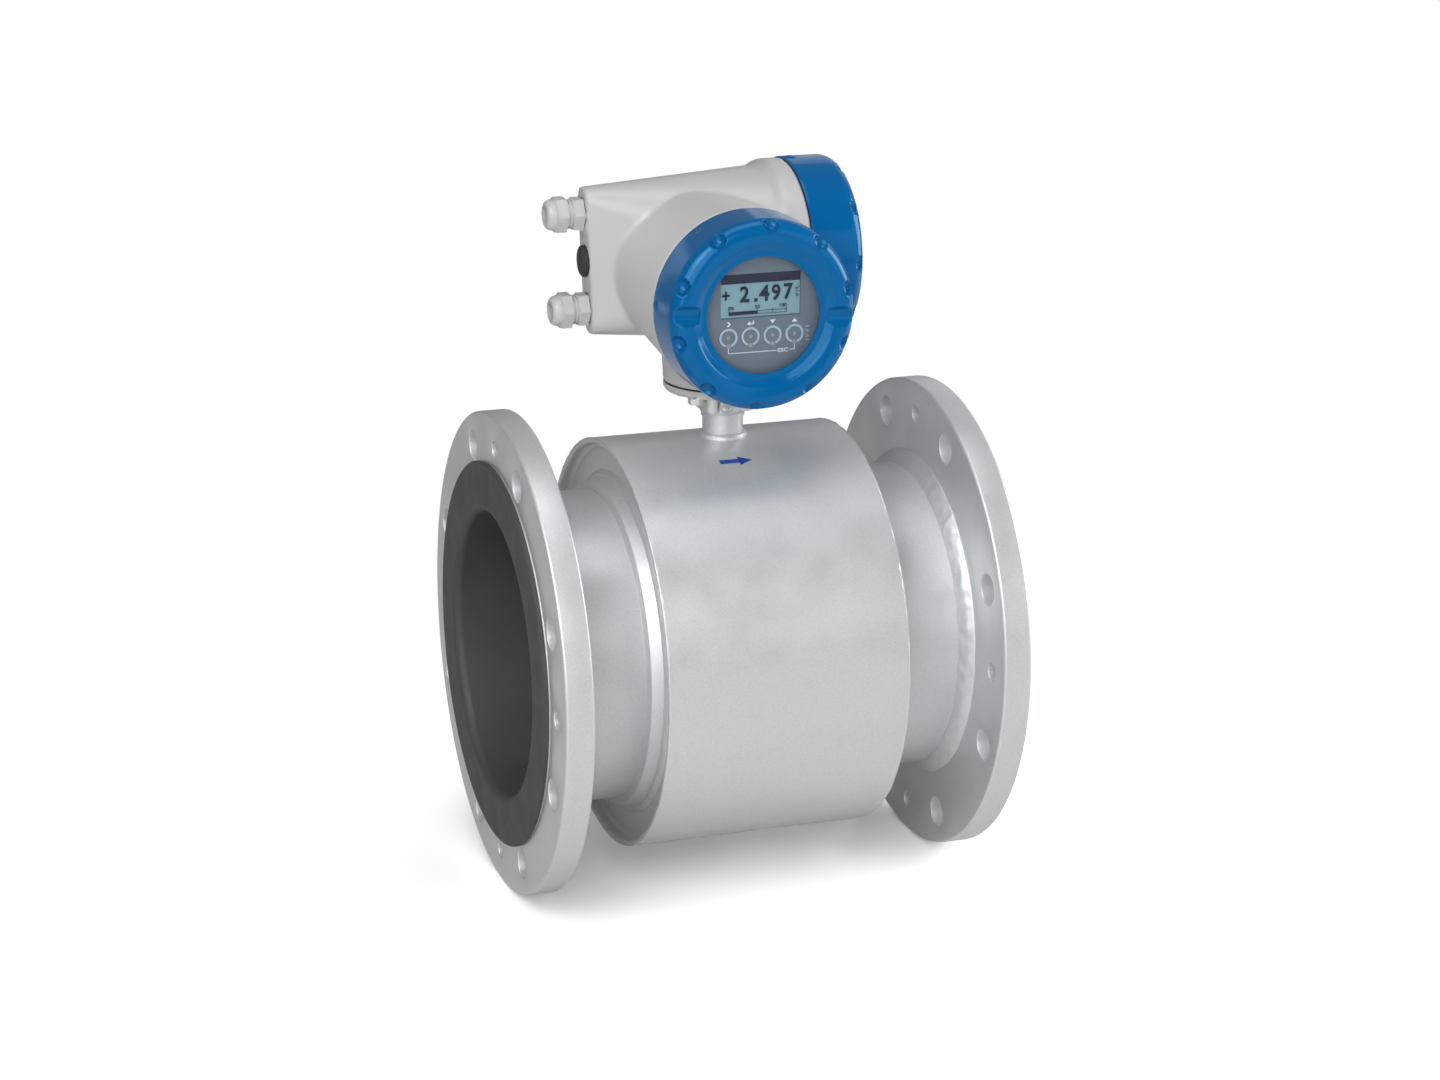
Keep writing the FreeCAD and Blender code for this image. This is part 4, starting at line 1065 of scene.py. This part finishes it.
@dataclass
class Converter:
    """The cast housing with its covers, electronics and terminals."""

    def build(self) -> None:
        """Dress the nodes."""
        dress(Look.CAST, "base_plate")
        HousingCasting().build()
        ScrewCover("display_cover", "display_cover_turn", (0.0, -1.0, 0.0), (1.0, 0.0, 0.0), taper=0.9,
                   turn=4.0, windowed=True).build()
        ScrewCover("terminal_cover", "terminal_cover_turn", (1.0, 0.0, 0.0), (0.0, 0.0, -1.0), taper=0.2,
                   spigot_gap=6.2).build()
        dress(Look.SEAL, "base_seal", "display_cover_seal", "terminal_cover_seal", "entry_washers",
              "upper_gland_grommet", "lower_gland_grommet")
        dress(Look.BLUE, "window_retainer")
        dress(Look.GLASS, "display_window")
        dress(Look.STAINLESS, "display_cover_lock_screw", "terminal_cover_lock_screw", "tray_screws",
              "terminal_screws")
        dress(Look.PANEL, "face_plate")
        dress(Look.SCREEN, "display_module")
        dress(Look.PANEL, "optical_keys")
        dress(Look.BOARD, "display_board", "power_board")
        dress(Look.BLACK, "electronics_tray", "blanking_plug", "terminal_carrier")
        dress(Look.NYLON, "terminal_strips", "upper_gland_body", "lower_gland_body", "upper_gland_nut",
              "lower_gland_nut")


@dataclass
class Panel:
    """What is shown behind the window: the screen's figures with painted shadow lines along two of its edges,
    and the keys' rings and signs.
    """

    lift: float = 0.12
    ink: float = 0.1
    screen_half: float = 28.3
    screen_low: float = 246.5
    screen_high: float = 276.3
    header: float = 6.4
    key_x: tuple[float, ...] = (-22.9, -7.15, 8.6, 24.4)
    key_z: float = 233.1
    key_r: float = 6.5
    ring_w: float = 1.5
    ring_gap: float = 40.0

    @property
    def face(self) -> float:
        """The y of the printed face."""
        return lowest("face_plate").y

    def build(self) -> None:
        """Make the screen's figures and the keys."""
        self.screen()
        self.key_rings()
        self.key_dots()
        self.signs()

    def words(self, form: Form, text: str, x0: float, z0: float, x1: float, z1: float,
              bold: float = 0.0) -> None:
        """Set a short text on the panel so that it fills a rectangle.

        Args:
            form: The mesh it is added to.
            text: The text.
            x0: The rectangle's left.
            z0: Its foot.
            x1: Its right.
            z1: Its top.
            bold: How much the strokes are thickened, as a share of the font's size.
        """
        curve = bpy.data.curves.new("words", "FONT")
        curve.body = text
        curve.offset = bold
        curve.resolution_u = 4
        holder = bpy.data.objects.new("words", curve)
        mesh = bpy.data.meshes.new_from_object(holder)
        low = Vector((min(v.co[i] for v in mesh.vertices) for i in range(2)))
        high = Vector((max(v.co[i] for v in mesh.vertices) for i in range(2)))
        wide, tall = (x1 - x0) / (high.x - low.x), (z1 - z0) / (high.y - low.y)
        mesh.transform(Matrix.Translation((x0, self.face - self.lift - self.ink / 2, z0))
                       @ Matrix.Rotation(math.pi / 2, 4, "X") @ Matrix.Diagonal((wide, tall, 1.0, 1.0))
                       @ Matrix.Translation((-low.x, -low.y, 0.0)))
        form.bm.from_mesh(mesh)
        bpy.data.objects.remove(holder)
        bpy.data.curves.remove(curve)
        bpy.data.meshes.remove(mesh)

    def bar(self, form: Form, x0: float, z0: float, x1: float, z1: float) -> None:
        """Add a thin printed rectangle between two corners."""
        y = self.face - self.lift
        form.block((x0, y - self.ink / 2, z0), (x1, y + self.ink / 2, z1))

    def disc(self, form: Form, x: float, z: float, radius: float, inner: float = 0.0,
             start: float = 0.0, sweep: float = 360.0) -> None:
        """Add a printed dot, ring or arc.

        Args:
            form: The mesh it is added to.
            x: Its middle.
            z: Its middle.
            radius: Its outer radius.
            inner: Its inner radius, 0 for a dot.
            start: Where an arc starts, in degrees from straight down.
            sweep: How far it goes round.
        """
        y = self.face - self.lift
        steps = 40
        if sweep >= 360.0:
            outline = [(-self.ink / 2, inner), (-self.ink / 2, radius), (self.ink / 2, radius),
                       (self.ink / 2, inner)]
            form.lathe(outline, Axis.Y, (x, y, z), steps, ring=inner > 0)
            return
        angles = [math.radians(start + sweep * i / steps) for i in range(steps + 1)]
        outer = [(x + radius * math.sin(a), z - radius * math.cos(a)) for a in angles]
        inside = [(x + inner * math.sin(a), z - inner * math.cos(a)) for a in reversed(angles)]
        form.plate(outer + inside, y - self.ink / 2, y + self.ink / 2)

    def screen(self) -> None:
        """The screen's dark header, its figures, its bar graph, and painted shadow lines along its bottom and
        right edges.
        """
        form = Form()
        self.bar(form, -self.screen_half, self.screen_high - self.header, self.screen_half, self.screen_high)
        base = self.screen_low + 10.4
        top = base + 11.2
        self.bar(form, -27.8, base + 4.6, -22.0, base + 6.0)
        self.bar(form, -25.6, base + 2.2, -24.2, base + 8.4)
        for text, x0, x1 in (("2", -14.9, -8.2), ("4", -1.3, 6.1), ("9", 7.7, 14.1), ("7", 16.3, 23.1)):
            self.words(form, text, x0, base, x1, top, 0.028)
        self.bar(form, -4.7, base, -2.3, base + 2.4)
        left, mid, right = -22.8, -2.3, 18.6
        low = self.screen_low + 1.9
        self.bar(form, left, low, mid, low + 2.4)
        for z in (low, low + 2.1):
            self.bar(form, mid, z, right, z + 0.3)
        for x in (left, mid - 0.2, (mid + right) / 2, right - 0.35):
            self.bar(form, x, low, x + 0.35, low + 3.3)
        for text, x0, x1 in (("0%", left - 0.4, left + 3.8), ("50", mid - 1.8, mid + 1.6),
                             ("100", right - 5.0, right)):
            self.words(form, text, x0, low + 3.7, x1, low + 6.2, 0.02)
        self.words(form, "m³", 24.4, base + 6.6, 27.4, base + 9.0, 0.015)
        self.bar(form, 24.3, base + 5.2, 27.4, base + 5.6)
        self.words(form, "h", 25.0, base + 1.9, 26.7, base + 4.4, 0.015)
        # Painted shadow: thin dark lines along the screen's bottom and right edges stand in for the shade of
        # its recess.
        self.bar(form, -self.screen_half, self.screen_low - 0.1, self.screen_half, self.screen_low + 0.25)
        self.bar(form, self.screen_half - 0.35, self.screen_low, self.screen_half, self.screen_high)
        form.settle("screen_figures_and_painted_shadow", Look.SCREEN_INK_AND_PAINTED_SHADOW, "meter")

    def key_rings(self) -> None:
        """The pale rings round the keys, open at the bottom."""
        form = Form()
        for x in self.key_x:
            self.disc(form, x, self.key_z, self.key_r, self.key_r - self.ring_w,
                      self.ring_gap / 2, 360.0 - self.ring_gap)
        form.settle("key_rings", Look.RING_INK, "meter")

    def key_dots(self) -> None:
        """The dark light windows in the keys, and the two signal lights beside them."""
        form = Form()
        for x in self.key_x:
            self.disc(form, x, self.key_z, 1.25)
            self.disc(form, x, self.key_z - self.key_r + 0.6, 1.65)
        for z in (self.key_z + 1.4, self.key_z - 2.4):
            self.disc(form, 33.6, z, 1.1)
        form.settle("key_windows", Look.LENS, "meter")

    def signs(self) -> None:
        """The signs over the keys and the escape bracket under them."""
        form = Form()
        y0, y1 = self.face - self.lift - self.ink / 2, self.face - self.lift + self.ink / 2
        top = self.key_z + self.key_r + 1.2
        x = self.key_x[0]
        form.plate([(x - 1.3, top), (x + 0.1, top), (x + 1.5, top + 1.7), (x + 0.1, top + 3.4),
                    (x - 1.3, top + 3.4), (x + 0.1, top + 1.7)], y0, y1)
        x = self.key_x[1]
        form.plate([(x - 2.6, top + 1.2), (x - 0.4, top - 0.4), (x - 0.4, top + 2.8)], y0, y1)
        self.bar(form, x - 0.6, top + 0.8, x + 2.4, top + 1.6)
        self.bar(form, x + 1.6, top + 1.6, x + 2.4, top + 3.2)
        for x, foot, tip in ((self.key_x[2], top + 3.0, top + 0.4), (self.key_x[3], top + 0.4, top + 3.0)):
            form.plate([(x - 2.1, foot), (x + 2.1, foot), (x, tip)], y0, y1)
        low = self.key_z - self.key_r - 4.6
        first, last = self.key_x[0], self.key_x[3]
        thin = 0.25
        for x0, x1, tall in ((first - thin, first + thin, 3.6), (first - thin, first + 34.3, 2 * thin),
                             (last - 3.9, last + thin, 2 * thin), (last - thin, last + thin, 3.6)):
            self.bar(form, x0, low, x1, low + tall)
        self.words(form, "ESC", first + 35.2, low - 1.1, last - 4.6, low + 1.6, 0.02)
        for z in (self.key_z + 4.2, self.key_z - 5.2):
            self.bar(form, 32.4, z, 34.8, z + 0.3)
        form.settle("key_signs", Look.WHITE_INK, "meter")


# ---------------------------------------------------------------- studio


@dataclass
class Studio:
    """The camera, the lamps, the floor and the white surroundings."""

    aim: Triple = (-0.0016, 0.0, 0.0672)
    distance: float = 2.3933
    azimuth: float = -19.03
    elevation: float = 16.76
    roll: float = 0.22
    lens: float = 84.35
    ambient: float = 0.2
    floor_drop: float = 0.0002
    floor_size: float = 14.0
    floor_bright: float = 1.8
    floor_plain: float = 0.8
    floor_blur: float = 0.12
    floor_ior: float = 1.45
    lamps_aim: Triple = (0.0, 0.0, 0.06)
    near: float = 0.22
    far: float = 0.75
    lamps: list = field(default_factory=lambda: [
        ("front_lamp", (-1.3, -2.7, 1.3), 2.6, 56.0),
        ("front_right_lamp", (1.8, -2.4, 0.9), 1.8, 7.0),
        ("right_lamp", (3.0, -0.3, 1.0), 2.0, 60.0),
        ("top_lamp", (0.0, -0.3, 3.0), 1.6, 18.0),
        ("left_high_lamp", (-1.6, -1.6, 2.4), 1.4, 18.0),
        ("back_lamp", (1.8, 2.4, 1.4), 2.0, 5.0),
    ])
    sheen_lamp: tuple = ("sheen_lamp", (-2.0, -1.25, 1.75), 1.7, 30.0)

    def build(self) -> None:
        """Set up everything round the meter."""
        self.camera()
        self.light()
        self.floor()
        self.world()
        bpy.context.scene.view_settings.view_transform = "Standard"

    def camera(self) -> None:
        """Place the camera."""
        data = bpy.data.cameras.new("camera")
        data.lens = self.lens
        data.sensor_width = 36.0
        data.clip_end = 100.0
        piece = add_object("camera", data)
        az, el = math.radians(self.azimuth), math.radians(self.elevation)
        away = Vector((math.sin(az) * math.cos(el), -math.cos(az) * math.cos(el), math.sin(el)))
        piece.location = Vector(self.aim) + away * self.distance
        look = (-away).to_track_quat("-Z", "Y").to_matrix().to_4x4()
        turned = look @ Matrix.Rotation(math.radians(self.roll), 4, "Z")
        piece.rotation_euler = turned.to_euler()
        bpy.context.scene.camera = piece

    def light(self) -> None:
        """Hang the soft lamps, all turned to the meter, and one that only shows in glossy surfaces."""
        for name, place, size, power in [*self.lamps, self.sheen_lamp]:
            data = bpy.data.lights.new(name, "AREA")
            data.shape = "SQUARE"
            data.size = size
            data.energy = power
            lamp = add_object(name, data)
            lamp.location = place
            way = Vector(self.lamps_aim) - Vector(place)
            lamp.rotation_euler = way.to_track_quat("-Z", "Y").to_euler()
            lamp.visible_camera = False
            lamp.visible_diffuse = name != self.sheen_lamp[0]

    def floor(self) -> None:
        """Lay the white floor, which shows the meter's shadow and a faint reflection."""
        drop = CAD_BOX[0][2] - self.floor_drop
        form = bmesh.new()
        bmesh.ops.create_grid(form, x_segments=1, y_segments=1, size=self.floor_size,
                              matrix=Matrix.Translation((0, 0, drop)))
        mesh = bpy.data.meshes.new("floor")
        form.to_mesh(mesh)
        form.free()
        piece = add_object("floor", mesh)
        mesh.materials.append(self.floor_finish())

    def floor_finish(self) -> bpy.types.Material:
        """White floor: bright to the eye, plain in the light it gives back, and glossy at a low angle.

        Returns:
            The material.
        """
        graph = Graph("white_floor")
        graph.nodes.remove(graph.shader)
        seen = graph.node("LightPath").outputs["Is Camera Ray"]
        colour = graph.blend(seen, (self.floor_plain,) * 3, (self.floor_bright,) * 3)
        matt = graph.node("BsdfDiffuse", feeds={"Color": colour}).outputs[0]
        sheen = graph.node("BsdfGlossy", {"Roughness": self.floor_blur}).outputs[0]
        slant = graph.node("Fresnel", {"IOR": self.floor_ior}).outputs[0]
        coated = graph.node("MixShader", feeds={0: slant, 1: matt, 2: sheen}).outputs[0]
        coords = graph.node("TexCoord").outputs["Object"]
        away = graph.node("VectorMath", feeds={0: coords}, operation="LENGTH").outputs["Value"]
        far = graph.spread(away, 0.0, 1.0, self.near, self.far)
        only_seen = graph.node("Math", feeds={0: far, 1: seen}, operation="MULTIPLY").outputs[0]
        white = graph.node("Emission").outputs[0]
        total = graph.node("MixShader", feeds={0: only_seen, 1: coated, 2: white}).outputs[0]
        graph.links.new(total, graph.nodes["Material Output"].inputs["Surface"])
        return graph.material

    def world(self) -> None:
        """White surroundings for the eye and through glass, a plain grey for everything else."""
        world = bpy.data.worlds.new("surroundings")
        bpy.context.scene.world = world
        world.use_nodes = True
        tree = world.node_tree
        back = tree.nodes["Background"]
        path = tree.nodes.new("ShaderNodeLightPath")
        seen = tree.nodes.new("ShaderNodeMapRange")
        seen.inputs["To Min"].default_value = self.ambient
        seen.inputs["To Max"].default_value = 1.0
        either = tree.nodes.new("ShaderNodeMath")
        either.operation = "MAXIMUM"
        tree.links.new(path.outputs["Is Camera Ray"], either.inputs[0])
        tree.links.new(path.outputs["Is Transmission Ray"], either.inputs[1])
        tree.links.new(either.outputs[0], seen.inputs["Value"])
        back.inputs["Color"].default_value = (1.0, 1.0, 1.0, 1.0)
        tree.links.new(seen.outputs["Result"], back.inputs["Strength"])


def main() -> None:
    """Build the meter's looks in order."""
    logging.basicConfig(level=logging.INFO, format="%(name)s: %(message)s")
    for part in (Studio(), Sensor(), Neck(), Converter(), Panel()):
        part.build()
        log.info("built %s", type(part).__name__)


if __name__ == "__main__":
    main()
